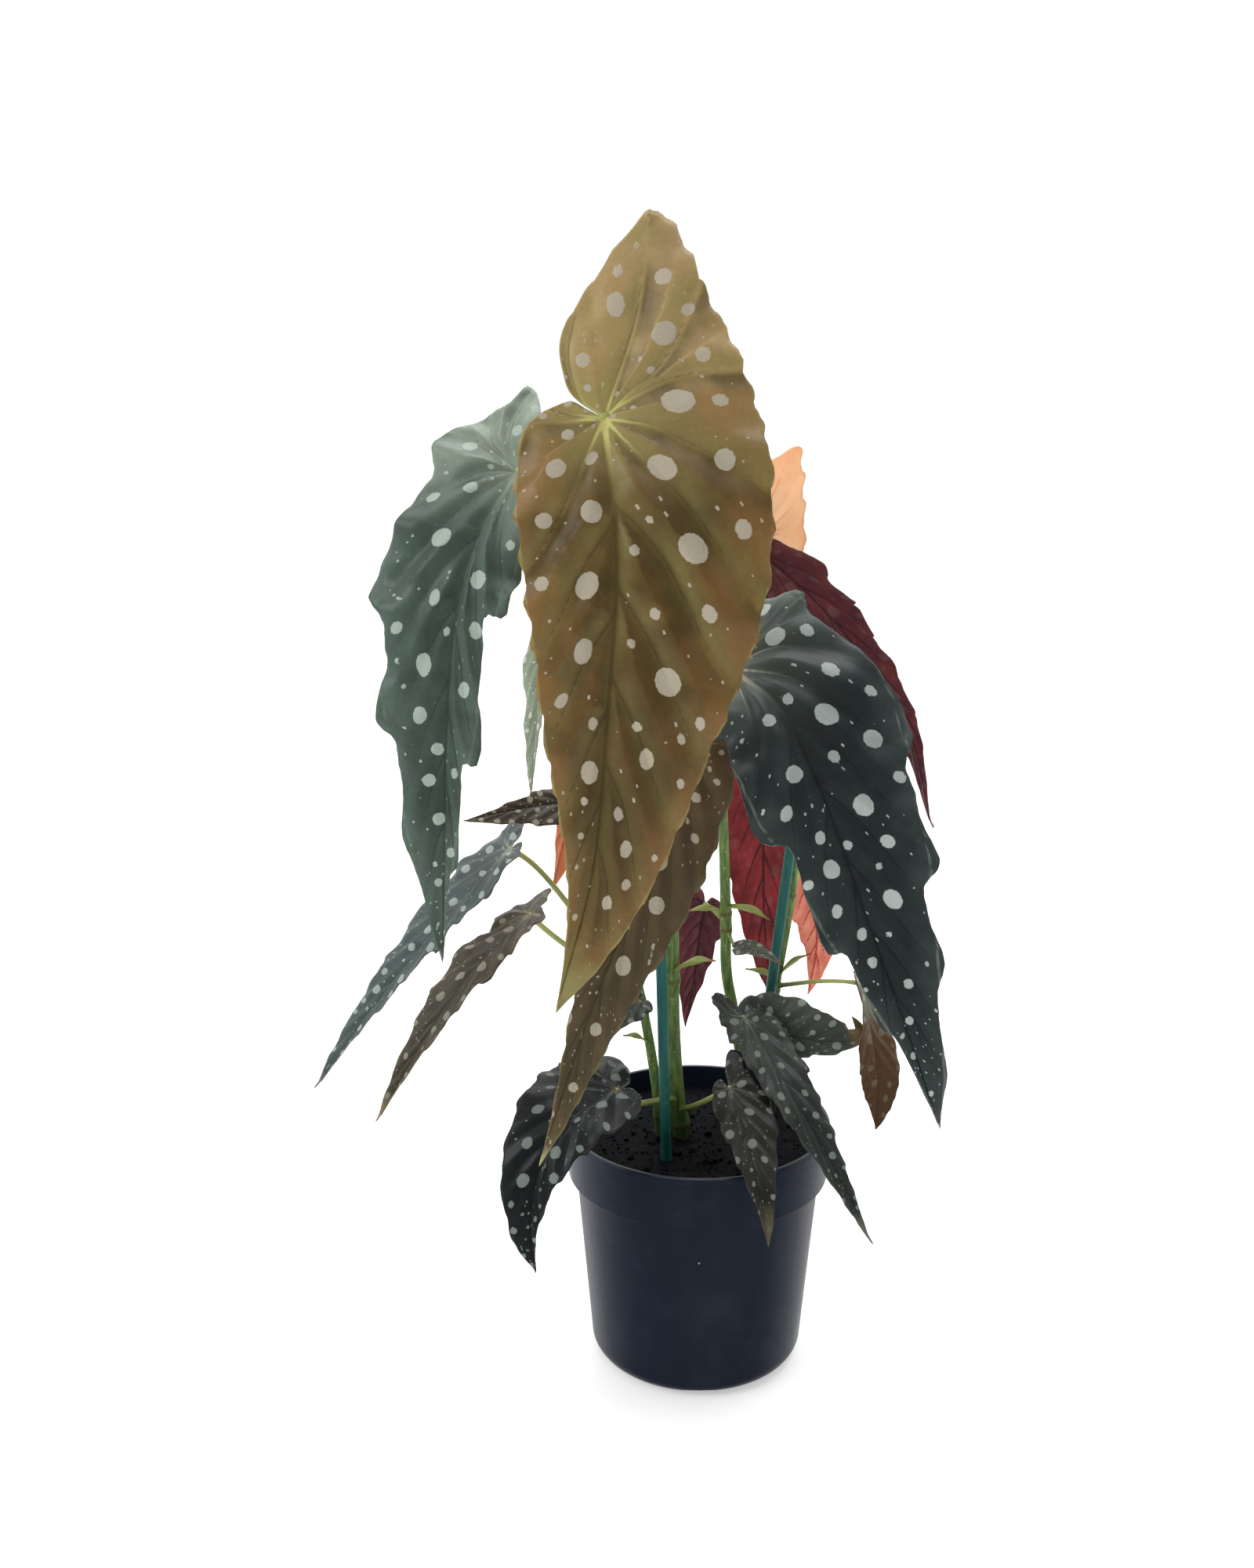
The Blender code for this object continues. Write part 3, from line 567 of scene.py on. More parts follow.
def piece(name, bm, materials, node=None):
    """A finished mesh that rides on the plant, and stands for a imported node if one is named."""
    old = bpy.data.objects.get(name)
    if old is not None and old.get("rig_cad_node"):
        name = name + "_look"
    mesh = bpy.data.meshes.new(name)
    bm.to_mesh(mesh)
    bm.free()
    for material in materials:
        mesh.materials.append(material)
    mesh.shade_smooth()
    obj = bpy.data.objects.new(name, mesh)
    bpy.context.scene.collection.objects.link(obj)
    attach(obj, BODY)
    if node:
        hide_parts(node)
    return obj


def thicken(obj, thickness):
    solid = obj.modifiers.new("Thickness", "SOLIDIFY")
    solid.thickness = thickness
    solid.offset = 0
    return solid


# Materials


def new_tree(name):
    """A material's empty node tree and its Principled shader, joined to the output."""
    material = bpy.data.materials.new(name)
    material.use_nodes = True
    tree = material.node_tree
    tree.nodes.clear()
    output = tree.nodes.new("ShaderNodeOutputMaterial")
    shader = tree.nodes.new("ShaderNodeBsdfPrincipled")
    tree.links.new(shader.outputs["BSDF"], output.inputs["Surface"])
    return material, tree, shader


def plug(tree, socket, value):
    """Gives an input a value, or joins it to another node's socket."""
    if isinstance(value, bpy.types.NodeSocket):
        tree.links.new(value, socket)
    else:
        socket.default_value = value


def add(tree, kind, inputs=None, **choices):
    """Adds a node. Inputs go by name or number, and each is a value or another node's socket."""
    node = tree.nodes.new("ShaderNode" + kind)
    for key, value in choices.items():
        setattr(node, key, value)
    for key, value in (inputs or {}).items():
        plug(tree, node.inputs[key], value)
    return node


def mix(tree, factor, first, second):
    """A colour between two. Each is a socket, a hex code or a linear colour."""
    first, second = (linear(color) if isinstance(color, str) else color for color in (first, second))
    return add(tree, "Mix", {"Factor": factor, 6: first, 7: second}, data_type="RGBA").outputs[2]


def calc(tree, operation, *values, clamp=False):
    return add(tree, "Math", dict(enumerate(values)), operation=operation, use_clamp=clamp).outputs[0]


def ramp(tree, value, low, high, bottom=0.0, top=1.0, kind="LINEAR"):
    """Goes from bottom to top while a value goes from low to high."""
    limits = {"Value": value, "From Min": low, "From Max": high, "To Min": bottom, "To Max": top}
    return add(tree, "MapRange", limits, interpolation_type=kind).outputs["Result"]


def patches(tree, place, size, detail=2.0, roughness=0.5, distortion=0.0):
    """Soft noise with patches of a size in millimetres. Most of it lies between 0.3 and 0.7."""
    shape = {"Detail": detail, "Roughness": roughness, "Distortion": distortion}
    return add(tree, "TexNoise", {"Vector": place, "Scale": 1 / (size * MM), **shape}).outputs["Fac"]


def cells(tree, place, size, feature="F1"):
    """Irregular cells of a size in millimetres: the sockets of their random colour and distance."""
    return add(tree, "TexVoronoi", {"Vector": place, "Scale": 1 / (size * MM)}, feature=feature).outputs


def carried(tree, name, output="Fac"):
    """What the mesh carries at each place under that name."""
    return add(tree, "Attribute", attribute_name=name).outputs[output]


def body_place(tree):
    return add(tree, "TexCoord").outputs["Object"]


def stretch(tree, place, scale, rotation=(0, 0, 0)):
    return add(tree, "Mapping", {"Vector": place, "Rotation": rotation, "Scale": scale}).outputs[0]


def dress(tree, shader, tone, roughness, specular=0.5):
    for name, value in (("Base Color", tone), ("Roughness", roughness), ("Specular IOR Level", specular)):
        plug(tree, shader.inputs[name], value)


def emboss(tree, shader, height, strength, depth):
    """Fine relief, of a depth in millimetres."""
    bump = add(tree, "Bump", {"Height": height, "Strength": strength, "Distance": depth * MM})
    plug(tree, shader.inputs["Normal"], bump.outputs["Normal"])


def cuticle_upper(name, look):
    """Waxy upper skin of a begonia leaf: satin, quilted, silvery air-filled spots and fine pale specks."""
    material, tree, shader = new_tree(name + "_waxy_upper_skin")
    flat = carried(tree, "flat", "Vector")
    vein, ridge, flank, star, spot, margin, share = (carried(tree, field) for field in FIELDS)
    # Cloudy change of tone over patches of about 24 mm, lighter towards the margin and darker by the midrib
    cloud = ramp(tree, patches(tree, flat, 24, distortion=0.5), 0.3, 0.7)
    rim = ramp(tree, margin, 22, 2, -0.3, 0.35)
    tone = mix(tree, calc(tree, "ADD", cloud, rim, clamp=True), look.shade, look.light)
    # Darkest down the middle of the blade's far half
    far = calc(tree, "MULTIPLY", ramp(tree, share, 0.2, 0.65, 0, 0.8), ramp(tree, margin, 1, 11))
    tone = mix(tree, far, tone, look.shade)
    # The lobe behind the stalk has a tone of its own; on the largest leaves it is lighter, partly as a
    # painted sheen of light on the upturned lobe
    tone = mix(tree, ramp(tree, share, 0.16, -0.1, 0, 0.85), tone, look.lobe)
    # Painted backlight: redder half way between the veins, the underside's red as if lit through from behind,
    # and greener beside them
    between = calc(tree, "MULTIPLY", ramp(tree, ridge, 1, 8), cloud)
    tone = mix(tree, calc(tree, "MULTIPLY", between, look.blush), tone, look.under_light)
    tone = mix(tree, ramp(tree, ridge, 5, 0.5, 0, 0.2), tone, look.green)
    # Painted shade and light on each pleat's two flanks, in patches: darker on the tip's side of a vein
    # and greener on the other, as light falls on one flank of each pleat
    uneven = ramp(tree, patches(tree, flat, 15, 1), 0.35, 0.6, 0.15, 1)
    for turn, color, most in ((1, look.shade, 0.7), (-1, look.green, 0.5)):
        flank_shading = ramp(tree, flank, 0.06 * turn, 0.5 * turn, 0, most)
        tone = mix(tree, calc(tree, "MULTIPLY", flank_shading, uneven), tone, color)
    # Fine mottling between the smallest veins, about 2 mm apart
    mottle = ramp(tree, patches(tree, flat, 2), 0.3, 0.7, 0.94, 1.05)
    tone = add(tree, "VectorMath", {0: tone, "Scale": mottle}, operation="SCALE").outputs[0]
    # Veins: a dark line, partly the vein's own colour and partly painted shade in its groove, and a pale star
    # where the stalk joins
    line = ramp(tree, vein, 1, 0.3, kind="SMOOTHSTEP")
    tone = mix(tree, calc(tree, "MULTIPLY", line, 0.45), tone, look.groove)
    ray = calc(tree, "MULTIPLY", calc(tree, "ADD", line, 0.2), star)
    tone = mix(tree, calc(tree, "MULTIPLY", ray, 1.3, clamp=True), tone, look.vein)
    # A hair-thin pale line along the margin
    tone = mix(tree, ramp(tree, margin, 0.8, 0.3, 0, 0.22), tone, look.vein)
    # Dry tip with a ragged border
    reach = calc(tree, "MULTIPLY_ADD", patches(tree, flat, 7, 3), 0.12, share)
    dry = ramp(tree, reach, 1.04 - look.dry, 1.1 - look.dry * 0.6, kind="SMOOTHSTEP")
    tone = mix(tree, dry, tone, look.tip)
    # Silvery spots with slightly uneven edges, and specks in cells of 4 mm
    edge = calc(tree, "MULTIPLY_ADD", patches(tree, flat, 1.6, 1), 0.7, spot)
    disc = ramp(tree, edge, 0.5, 0.2, kind="SMOOTHSTEP")
    grid = cells(tree, flat, 4)
    luck = add(tree, "SeparateColor", {"Color": grid["Color"]}).outputs["Red"]
    speck = calc(tree, "SUBTRACT", grid["Distance"], ramp(tree, luck, 0.55, 1, 0, 0.12))
    pale = calc(tree, "MAXIMUM", disc, ramp(tree, speck, 0.03, -0.03, 0, 0.75))
    grain = ramp(tree, patches(tree, flat, 0.9), 0.3, 0.7, 0.93, 1.03)
    silver = add(tree, "VectorMath", {0: linear(look.spot)[:3], "Scale": grain}, operation="SCALE").outputs[0]
    fresh = calc(tree, "MULTIPLY_ADD", dry, -0.75, 0.93)
    tone = mix(tree, calc(tree, "MULTIPLY", pale, fresh), tone, silver)
    dress(tree, shader, tone, ramp(tree, pale, 0, 1, 0.4, 0.55), 0.3)
    # Skin cells about 0.7 mm wide, and the vein's groove
    skin = cells(tree, flat, 0.7, "SMOOTH_F1")["Distance"]
    height = calc(tree, "MULTIPLY_ADD", line, -2, calc(tree, "MULTIPLY_ADD", skin, 0.35, pale))
    emboss(tree, shader, height, 0.35, 0.12)
    return material


def cuticle_under(name, look):
    """Wine-red underside of a begonia leaf: softer, with raised darker veins. Thin ones glow with painted
    light.
    """
    material, tree, shader = new_tree(name + "_red_under_skin")
    flat = carried(tree, "flat", "Vector")
    cloud = ramp(tree, patches(tree, flat, 22, 3, 0.6), 0.35, 0.65)
    tone = mix(tree, cloud, look.under_shade, look.under_light)
    line = ramp(tree, carried(tree, "vein"), 1.3, 0.4, kind="SMOOTHSTEP")
    tone = mix(tree, calc(tree, "MULTIPLY", line, 0.8), tone, look.under_vein)
    # The spots show through as faint paler patches
    tone = mix(tree, ramp(tree, carried(tree, "spot"), 0.6, -0.4, 0, 0.07), tone, look.spot)
    dress(tree, shader, tone, 0.5, 0.35)
    # Painted light: the underside emits its own colour, standing in for light from behind shining through the
    # blade
    plug(tree, shader.inputs["Emission Color"], tone)
    shader.inputs["Emission Strength"].default_value = PAINTED_GLOW.get(name, 0.0)
    emboss(tree, shader, calc(tree, "MULTIPLY_ADD", line, 2.5, patches(tree, flat, 1.2)), 0.5, 0.15)
    return material


def cut_margin(name, look):
    """The blade's edge, a hair-thin pale rim."""
    material, tree, shader = new_tree(name + "_pale_margin")
    patch = patches(tree, carried(tree, "flat", "Vector"), 6)
    dress(tree, shader, mix(tree, patch, look.vein, look.under_light), 0.45)
    return material


def stalk_skin():
    """Juicy leaf stalk, smooth: green by the cane and yellower by the blade."""
    material, tree, shader = new_tree("juicy_green_stalk_skin")
    patch = patches(tree, body_place(tree), 4)
    blend = calc(tree, "MULTIPLY_ADD", patch, 0.5, carried(tree, "share"))
    dress(tree, shader, mix(tree, ramp(tree, blend, 0.3, 1.1), "#7d9044", "#aab062"), 0.38)
    emboss(tree, shader, patch, 0.2, 0.1)
    return material


def cane_skin():
    """Jointed green cane: waxy, streaked lengthwise, brown and corky at each node."""
    material, tree, shader = new_tree("waxy_green_cane_skin")
    place = body_place(tree)
    streak = ramp(tree, patches(tree, stretch(tree, place, (1, 1, 0.12)), 1.1, 3), 0.35, 0.68)
    tone = mix(tree, streak, "#54743a", "#84a054")
    # Pale breathing pores, about one in each 3 mm
    tone = mix(tree, ramp(tree, cells(tree, place, 3)["Distance"], 0.2, 0.1, 0, 0.6), tone, "#c3c79a")
    # Corky scar on the node, about 2 mm high
    near = calc(tree, "MULTIPLY_ADD", patches(tree, place, 1.6), 1.6, carried(tree, "ring"))
    scar = ramp(tree, near, 2.2, 1.2, 0, 0.85)
    tone = mix(tree, scar, tone, "#6d5a35")
    # Painted shade darkens the foot, over the lowest 25 mm that stand out of the peat
    height = add(tree, "SeparateXYZ", {"Vector": place}).outputs["Z"]
    tone = mix(tree, ramp(tree, height, 0.128, 0.1, 0, 0.75), tone, "#2c3522")
    dress(tree, shader, tone, 0.4)
    emboss(tree, shader, calc(tree, "MULTIPLY_ADD", scar, 2, streak), 0.4, 0.15)
    return material


def papery_bract():
    """Thin papery scale: fresh yellow-green, drying to brown at the tip."""
    material, tree, shader = new_tree("papery_green_bract")
    patch = patches(tree, body_place(tree), 2.2, 3)
    reach = calc(tree, "MULTIPLY_ADD", patch, 0.45, carried(tree, "share"))
    fresh = mix(tree, patch, "#7f9440", "#aab468")
    dress(tree, shader, mix(tree, ramp(tree, reach, 0.95, 1.2), fresh, "#8a5f3a"), 0.5)
    emboss(tree, shader, patch, 0.3, 0.15)
    return material


def coated_stick():
    """Plastic-coated steel plant stick: satin teal, with drawn lines and a few scuffs."""
    material, tree, shader = new_tree("teal_plastic_coating")
    place = body_place(tree)
    drawn = patches(tree, stretch(tree, place, (1, 1, 0.04)), 0.9)
    worn = ramp(tree, patches(tree, place, 6, 4, 0.7), 0.6, 0.72, 0, 0.5)
    tone = mix(tree, worn, mix(tree, drawn, "#125853", "#2b786d"), "#5f9a8e")
    dress(tree, shader, tone, ramp(tree, worn, 0, 1, 0.34, 0.6))
    emboss(tree, shader, drawn, 0.25, 0.1)
    return material


def moulded_polypropylene(color):
    """Injection-moulded polypropylene: blue-black satin with flow marks, grain, dust and water specks."""
    material, tree, shader = new_tree("moulded_black_polypropylene")
    place = body_place(tree)
    flow = patches(tree, stretch(tree, place, (1, 1, 0.15)), 14, 4, 0.6)
    tone = mix(tree, flow, (*[c * 0.75 for c in color], 1), (*[c * 1.35 for c in color], 1))
    # Dust that settles in soft patches
    tone = mix(tree, ramp(tree, patches(tree, place, 30, 5, 0.65), 0.5, 0.8, 0, 0.06), tone, "#7f8aa4")
    # Dried water specks, in cells of 9 mm
    grid = cells(tree, place, 9)
    luck = add(tree, "SeparateColor", {"Color": grid["Color"]}).outputs["Green"]
    speck = calc(tree, "GREATER_THAN", ramp(tree, luck, 0.86, 1, -0.02, 0.05), grid["Distance"])
    tone = mix(tree, speck, tone, "#9ea4ac")
    dress(tree, shader, tone, ramp(tree, flow, 0.3, 0.7, 0.26, 0.38), 0.45)
    emboss(tree, shader, calc(tree, "MULTIPLY_ADD", flow, 2, patches(tree, place, 0.8)), 0.12, 0.1)
    return material


def damp_peat():
    """Damp sphagnum peat: almost black, crumbly and fibrous."""
    material, tree, shader = new_tree("damp_fibrous_peat")
    place = body_place(tree)
    crumb = patches(tree, place, 2.2, 5, 0.7)
    tone = mix(tree, ramp(tree, crumb, 0.35, 0.68), "#06090d", "#14161a")
    fibre = patches(tree, stretch(tree, place, (0.2, 1, 1), (0.3, 0.4, 0.8)), 1.2, 3)
    tone = mix(tree, ramp(tree, fibre, 0.64, 0.7, 0, 0.5), tone, "#3e3226")
    dress(tree, shader, tone, 0.95, 0.15)
    emboss(tree, shader, crumb, 0.8, 0.6)
    return material


def stage_paper(color, glow):
    """Matt white paper floor, lit from below as well, so that it stays white all the way back."""
    material, tree, shader = new_tree("matt_paper_sweep")
    grain = patches(tree, body_place(tree), 4)
    dress(tree, shader, mix(tree, grain, (*color, 1), (*[c * 0.99 for c in color], 1)), 0.9, 0.1)
    shader.inputs["Emission Color"].default_value = (1, 1, 1, 1)
    shader.inputs["Emission Strength"].default_value = glow
    return material


# Round pieces


def tube(line, radius_at, sides, rings, fields=()):
    """A round bar along a line, as a wrapped grid. Fields are (name, function of share and metres)."""
    reach = reach_of(line)
    bm = bmesh.new()
    bmesh.ops.create_grid(bm, x_segments=sides, y_segments=rings, size=1)
    layers = [(bm.verts.layers.float.new(name), value_at) for name, value_at in fields]
    shares = np.linspace(0, 1, rings + 1)
    centres = along_line(line, shares * reach[-1])
    ahead = unit(np.gradient(centres, axis=0))
    side = np.zeros_like(ahead)
    side[0] = unit(np.cross(ahead[0], (0.3, 0.9, 0.1)))
    for i in range(1, len(side)):
        side[i] = unit(side[i - 1] - ahead[i] * (side[i - 1] @ ahead[i]))
    other = np.cross(ahead, side)
    for vert in bm.verts:
        turn, row = math.pi * (vert.co.x + 1), round((vert.co.y + 1) / 2 * rings)
        share = shares[row]
        radius = radius_at(share, share * reach[-1], turn)
        out = side[row] * math.cos(turn) + other[row] * math.sin(turn)
        for layer, value_at in layers:
            vert[layer] = value_at(share, share * reach[-1])
        vert.co = centres[row] + out * radius
    bmesh.ops.remove_doubles(bm, verts=bm.verts, dist=WELD)
    bmesh.ops.holes_fill(bm, edges=[edge for edge in bm.edges if edge.is_boundary])
    bmesh.ops.recalc_face_normals(bm, faces=bm.faces)
    return bm


def cane_line(cane):
    return smooth_line(np.array(cane.path) * MM)


def cane_radius(cane, height):
    """The cane's taper at a height in millimetres, swollen at each node."""
    low, high = cane.path[0][2], cane.path[-1][2]
    share = min(1.0, max(0.0, (height - low) / (high - low)))
    bare = cane.foot + (cane.top - cane.foot) * share**0.5
    return bare * (1 + NODE_SWELL * sum(math.exp(-(((height - node) / 4) ** 2)) for node in cane.nodes))


def turned(profile, sides):
    """A closed solid from a profile of (radius, height) points in millimetres, turned about the z axis."""
    bm = bmesh.new()
    verts = [bm.verts.new((radius * MM, 0, height * MM)) for radius, height in profile]
    edges = [bm.edges.new(pair) for pair in zip(verts, verts[1:])]
    axis = {"cent": (0, 0, 0), "axis": (0, 0, 1), "angle": math.tau}
    bmesh.ops.spin(bm, geom=verts + edges, steps=sides, use_merge=True, **axis)
    bmesh.ops.remove_doubles(bm, verts=bm.verts, dist=WELD)
    bmesh.ops.recalc_face_normals(bm, faces=bm.faces)
    return bm


def rounded(centre_radius, centre_height, round_radius, first, last, steps):
    """An arc of a profile, from one angle to another. 0 points outwards and 90 up."""
    return [
        (centre_radius + round_radius * math.cos(a), centre_height + round_radius * math.sin(a))
        for a in (math.radians(first + (last - first) * i / steps) for i in range(steps + 1))
    ]


# Leaves


class Blade:
    """A leaf's shape: its flat outline and veins, and where each flat place lies in space."""

    def __init__(self, leaf):
        self.leaf = leaf
        self.rib = smooth_line(np.array(leaf.midrib) * MM)
        self.length = reach_of(self.rib)[-1]
        self.lean = LOBE_LEAN * max(0.0, 1 - 3 * leaf.ear / leaf.lobe)
        self.edges = {
            1: self.outline(WIDE_SIDE, WIDE_SHOULDER, 1),
            -1: self.outline(NARROW_SIDE, NARROW_SHOULDER, -1),
        }
        lobes = sum(reach_of(lobe)[-1] for lobe, _ in self.edges.values())
        flanks = sum(reach_of(flank)[-1] for _, flank in self.edges.values())
        self.fan = min(FAN_LIMITS[1], max(FAN_LIMITS[0], lobes / (lobes + flanks)))

    def flat_points(self, points, half):
        """Outline units as flat metres, for the wide half (1) or the narrow half (-1)."""
        leaf = self.leaf
        width, lobe, lean = (leaf.wide, leaf.lobe, self.lean) if half > 0 else (leaf.narrow, leaf.ear, 0.0)
        across, along = np.array(points, float).T
        shift = lean * np.sin(np.pi * np.clip(-along, 0, 1) ** 0.7) * (1 - across)
        ahead = np.where(along > 0, np.abs(along) ** leaf.blunt * self.length, along * lobe * MM)
        return np.stack([(across - shift) * width * MM, ahead], axis=1)

    def outline(self, points, shoulder, half):
        line = smooth_line(self.flat_points(points, half), 10)
        return line[: shoulder * 10 + 1], line[shoulder * 10 :]

    def veins(self):
        """The midrib and the side veins, each as a flat line with whether it is the midrib."""
        found = [(np.array([(0.0, 0.0), (0.0, self.length * 0.97)]), True)]
        for half, shapes in ((1, WIDE_VEINS), (-1, NARROW_VEINS)):
            for shape in shapes:
                line = smooth_line(self.flat_points(shape, half), 6)
                line[:, 0] *= half * self.leaf.hand
                found.append((line, False))
        return found

    def margin(self):
        """The whole flat outline, once round."""
        sides = [np.vstack(self.edges[half]) * (half * self.leaf.hand, 1) for half in (1, -1)]
        return np.vstack([sides[0], sides[1][::-1]])

    def flat(self, across, row):
        """Flat places, for across from -1 to 1 between the margins and row from 0 to 1 at the tip."""
        places = np.zeros((len(across), 2))
        out = np.abs(across)[:, None]
        for half, (lobe, flank) in self.edges.items():
            round_lobe, round_flank = reach_of(lobe)[-1], reach_of(flank)[-1]
            share = np.clip(row / self.fan, 0, 1)
            edge = along_line(lobe, round_lobe * (NOTCH_SHARE + (1 - NOTCH_SHARE) * share))
            notch = along_line(lobe, round_lobe * NOTCH_SHARE * out[:, 0])
            behind = notch + (edge * out - notch) * np.minimum(1, 3 * share)[:, None]
            on = np.clip((row - self.fan) / (1 - self.fan), 0, 1)
            start = np.stack([np.zeros_like(on), self.length * on**1.25], axis=1)
            edge = along_line(flank, round_flank * on)
            run = np.where(row < self.fan, share * round_lobe, round_lobe + on * round_flank)
            tooth = 1 + self.teeth(run, round_lobe + round_flank, half)[:, None] * out**3
            ahead = start + (edge - start) * out * tooth
            place = np.where((row < self.fan)[:, None], behind * tooth, ahead)
            place[:, 0] *= half * self.leaf.hand
            mine = across * half * self.leaf.hand >= 0
            places[mine] = place[mine]
        return places

    def teeth(self, run, whole, half):
        """How far the margin's bays and fine teeth stand out there, as a share of the half-width."""
        leaf = self.leaf
        width = leaf.wide if half > 0 else leaf.narrow
        bays = run / ((6 + 11 * leaf.scallop) * MM)
        turn = math.tau * (bays + 0.0094 * leaf.height + 0.4 * half) + 0.5 * np.sin(1.9 * bays)
        bay = np.sin(turn) + 0.25 * np.sin(2.1 * turn)
        fine = 0.5 - np.abs(np.sin(math.pi * run / (FINE_TOOTH * MM)))
        ends = smoothstep(0, 0.12, run / whole) * smoothstep(1, 0.9, run / whole)
        return (0.85 * leaf.scallop * bay + 0.3 * fine) / width * ends

    def place(self, flat, swell):
        """Where flat places lie in space: arched halves, a ruffled margin and the swelling between veins."""
        leaf = self.leaf
        side, along = flat.T
        origin = along_line(self.rib, np.clip(along, 0, self.length))
        step = 0.5 * MM
        before = along_line(self.rib, np.clip(along - step, 0, self.length - 2 * step))
        after = along_line(self.rib, np.clip(along + step, 2 * step, self.length))
        ahead = unit(after - before)
        origin = origin + ahead * np.minimum(0, along)[:, None]
        share = np.clip(along / self.length, 0, 1)[:, None]
        first, last = (direction(*face) for face in leaf.faces)
        up = first + (last - first) * share
        up = unit(up - ahead * (up * ahead).sum(axis=1, keepdims=True))
        across = np.cross(up, ahead)
        half = np.where(side * leaf.hand > 0, leaf.wide, leaf.narrow) * MM
        out = np.minimum(1.4, np.abs(side) / half)
        rise = math.sin(math.radians(CAMBER)) * half * (out - out * out)
        turn = math.tau * along / ((26 + 0.2 * leaf.wide) * MM)
        ruffle = leaf.wave * MM * out**2.2 * np.sin(turn + leaf.wide + np.sign(side) * 1.1)
        ruffle += 0.35 * leaf.wave * MM * out**2 * np.sin(2.3 * turn + leaf.narrow)
        droop = 0.12 * np.minimum(0, along) ** 2 / (leaf.lobe * MM)
        lift = (rise + ruffle - droop + swell)[:, None]
        return origin + across * side[:, None] + up * lift

    def frame_at_stalk(self):
        """The stalk's end, the direction to the tip and the upper side's normal there."""
        ahead = unit(self.rib[1] - self.rib[0])
        up = direction(*self.leaf.faces[0])
        return self.rib[0], ahead, unit(up - ahead * (up @ ahead))


def vein_field(blade, flat):
    """Per place: distance to the nearest vein, in its half-widths and in metres, nearness to the stalk, and
    flank: above 0 beside a vein on the side towards the tip, below 0 on the other, and 0 on it and far away.
    """
    relative = np.full(len(flat), np.inf)
    metres = np.full(len(flat), np.inf)
    flank = np.zeros(len(flat))
    fade = 1 - 0.7 * smoothstep(0.15, 0.6, flat[:, 1] / blade.length)
    scale = 0.45 + 0.55 * blade.leaf.wide / 50
    for line, main in blade.veins():
        gap, share, side = line_gap(flat, line)
        tipward = side if main else side * np.sign(line[-1, 0])
        strength = np.exp(-gap / (6 * MM * scale)) * (1 - np.exp(-((gap / (1.7 * MM)) ** 2)))
        flank = np.where(gap < metres, tipward * strength * fade, flank)
        width = (1.5 - 1.15 * share if main else 0.85 - 0.6 * share) * MM * scale
        relative = np.minimum(relative, gap / width)
        metres = np.minimum(metres, gap)
    star = np.exp(-((np.linalg.norm(flat, axis=1) / (0.055 * blade.length)) ** 1.3))
    return relative, metres, star, flank


def scatter_spots(blade, name, flat, gap, out, rng, largest):
    """Spots as (x, y, length, width, turn): the placed ones, then smaller and smaller ones between them."""
    spots = np.zeros((0, 5))
    for x, y, radius in SPOTS.get(name, ()):
        spots = np.vstack([spots, stretched_spot(np.array((x, y)) * MM, SPOT_SHARE * radius * MM, rng)])
    sizes = [(1.0, 0.6, 2.9, 200), (0.5, 0.3, 2.9, 60), (0.22, 0.09, 2.4, 200)]
    if name in SPOTS:
        sizes = [(0.5, 0.3, 2.9, 70), sizes[-1]]
    for big, small, spacing, tries in sizes:
        for _ in range(tries):
            at = rng.randrange(len(flat))
            place = flat[at]
            inner = 1 - 0.45 * out[at] ** 2
            taper = 0.55 + 0.45 * min(1, abs(blade.length - place[1]) / (0.5 * blade.length))
            radius = largest * (small + (big - small) * rng.random()) * inner * taper
            if gap[at] < radius * 0.75 or out[at] > EDGE_LIMIT:
                continue
            room = spacing * (radius + spots[:, 2]) * 0.7
            if (np.linalg.norm(spots[:, :2] - place, axis=1) < room).any():
                continue
            spots = np.vstack([spots, stretched_spot(place, radius, rng)])
    return spots


def stretched_spot(place, radius, rng):
    """A spot drawn out along the line that runs from the midrib to it."""
    stretch = rng.uniform(1.0, 1.5)
    lead = place - (0, 0.45 * place[1])
    turn = math.atan2(lead[1], lead[0]) + rng.uniform(-0.35, 0.35)
    return (*place, radius * stretch**0.5, radius / stretch**0.5, turn)


def spot_field(flat, spots):
    """Millimetres to the nearest spot's edge, below zero inside it."""
    nearest = np.full(len(flat), 9.0)
    for x, y, length, width, turn in spots:
        offset = flat - (x, y)
        cos, sin = math.cos(turn), math.sin(turn)
        u = (offset[:, 0] * cos + offset[:, 1] * sin) / length
        v = (offset[:, 1] * cos - offset[:, 0] * sin) / width
        nearest = np.minimum(nearest, (np.hypot(u, v) - 1) * width / MM)
    return nearest


def face_up(bm):
    """Make a blade's normals agree, out of its upper side. The grid it was bent from faces down."""
    bm.normal_update()
    bm.faces.ensure_lookup_table()
    middle = bm.faces[len(bm.faces) // 2]
    down = middle.normal.copy()
    bmesh.ops.recalc_face_normals(bm, faces=bm.faces)
    if middle.normal.dot(down) > 0:
        bmesh.ops.reverse_faces(bm, faces=bm.faces)


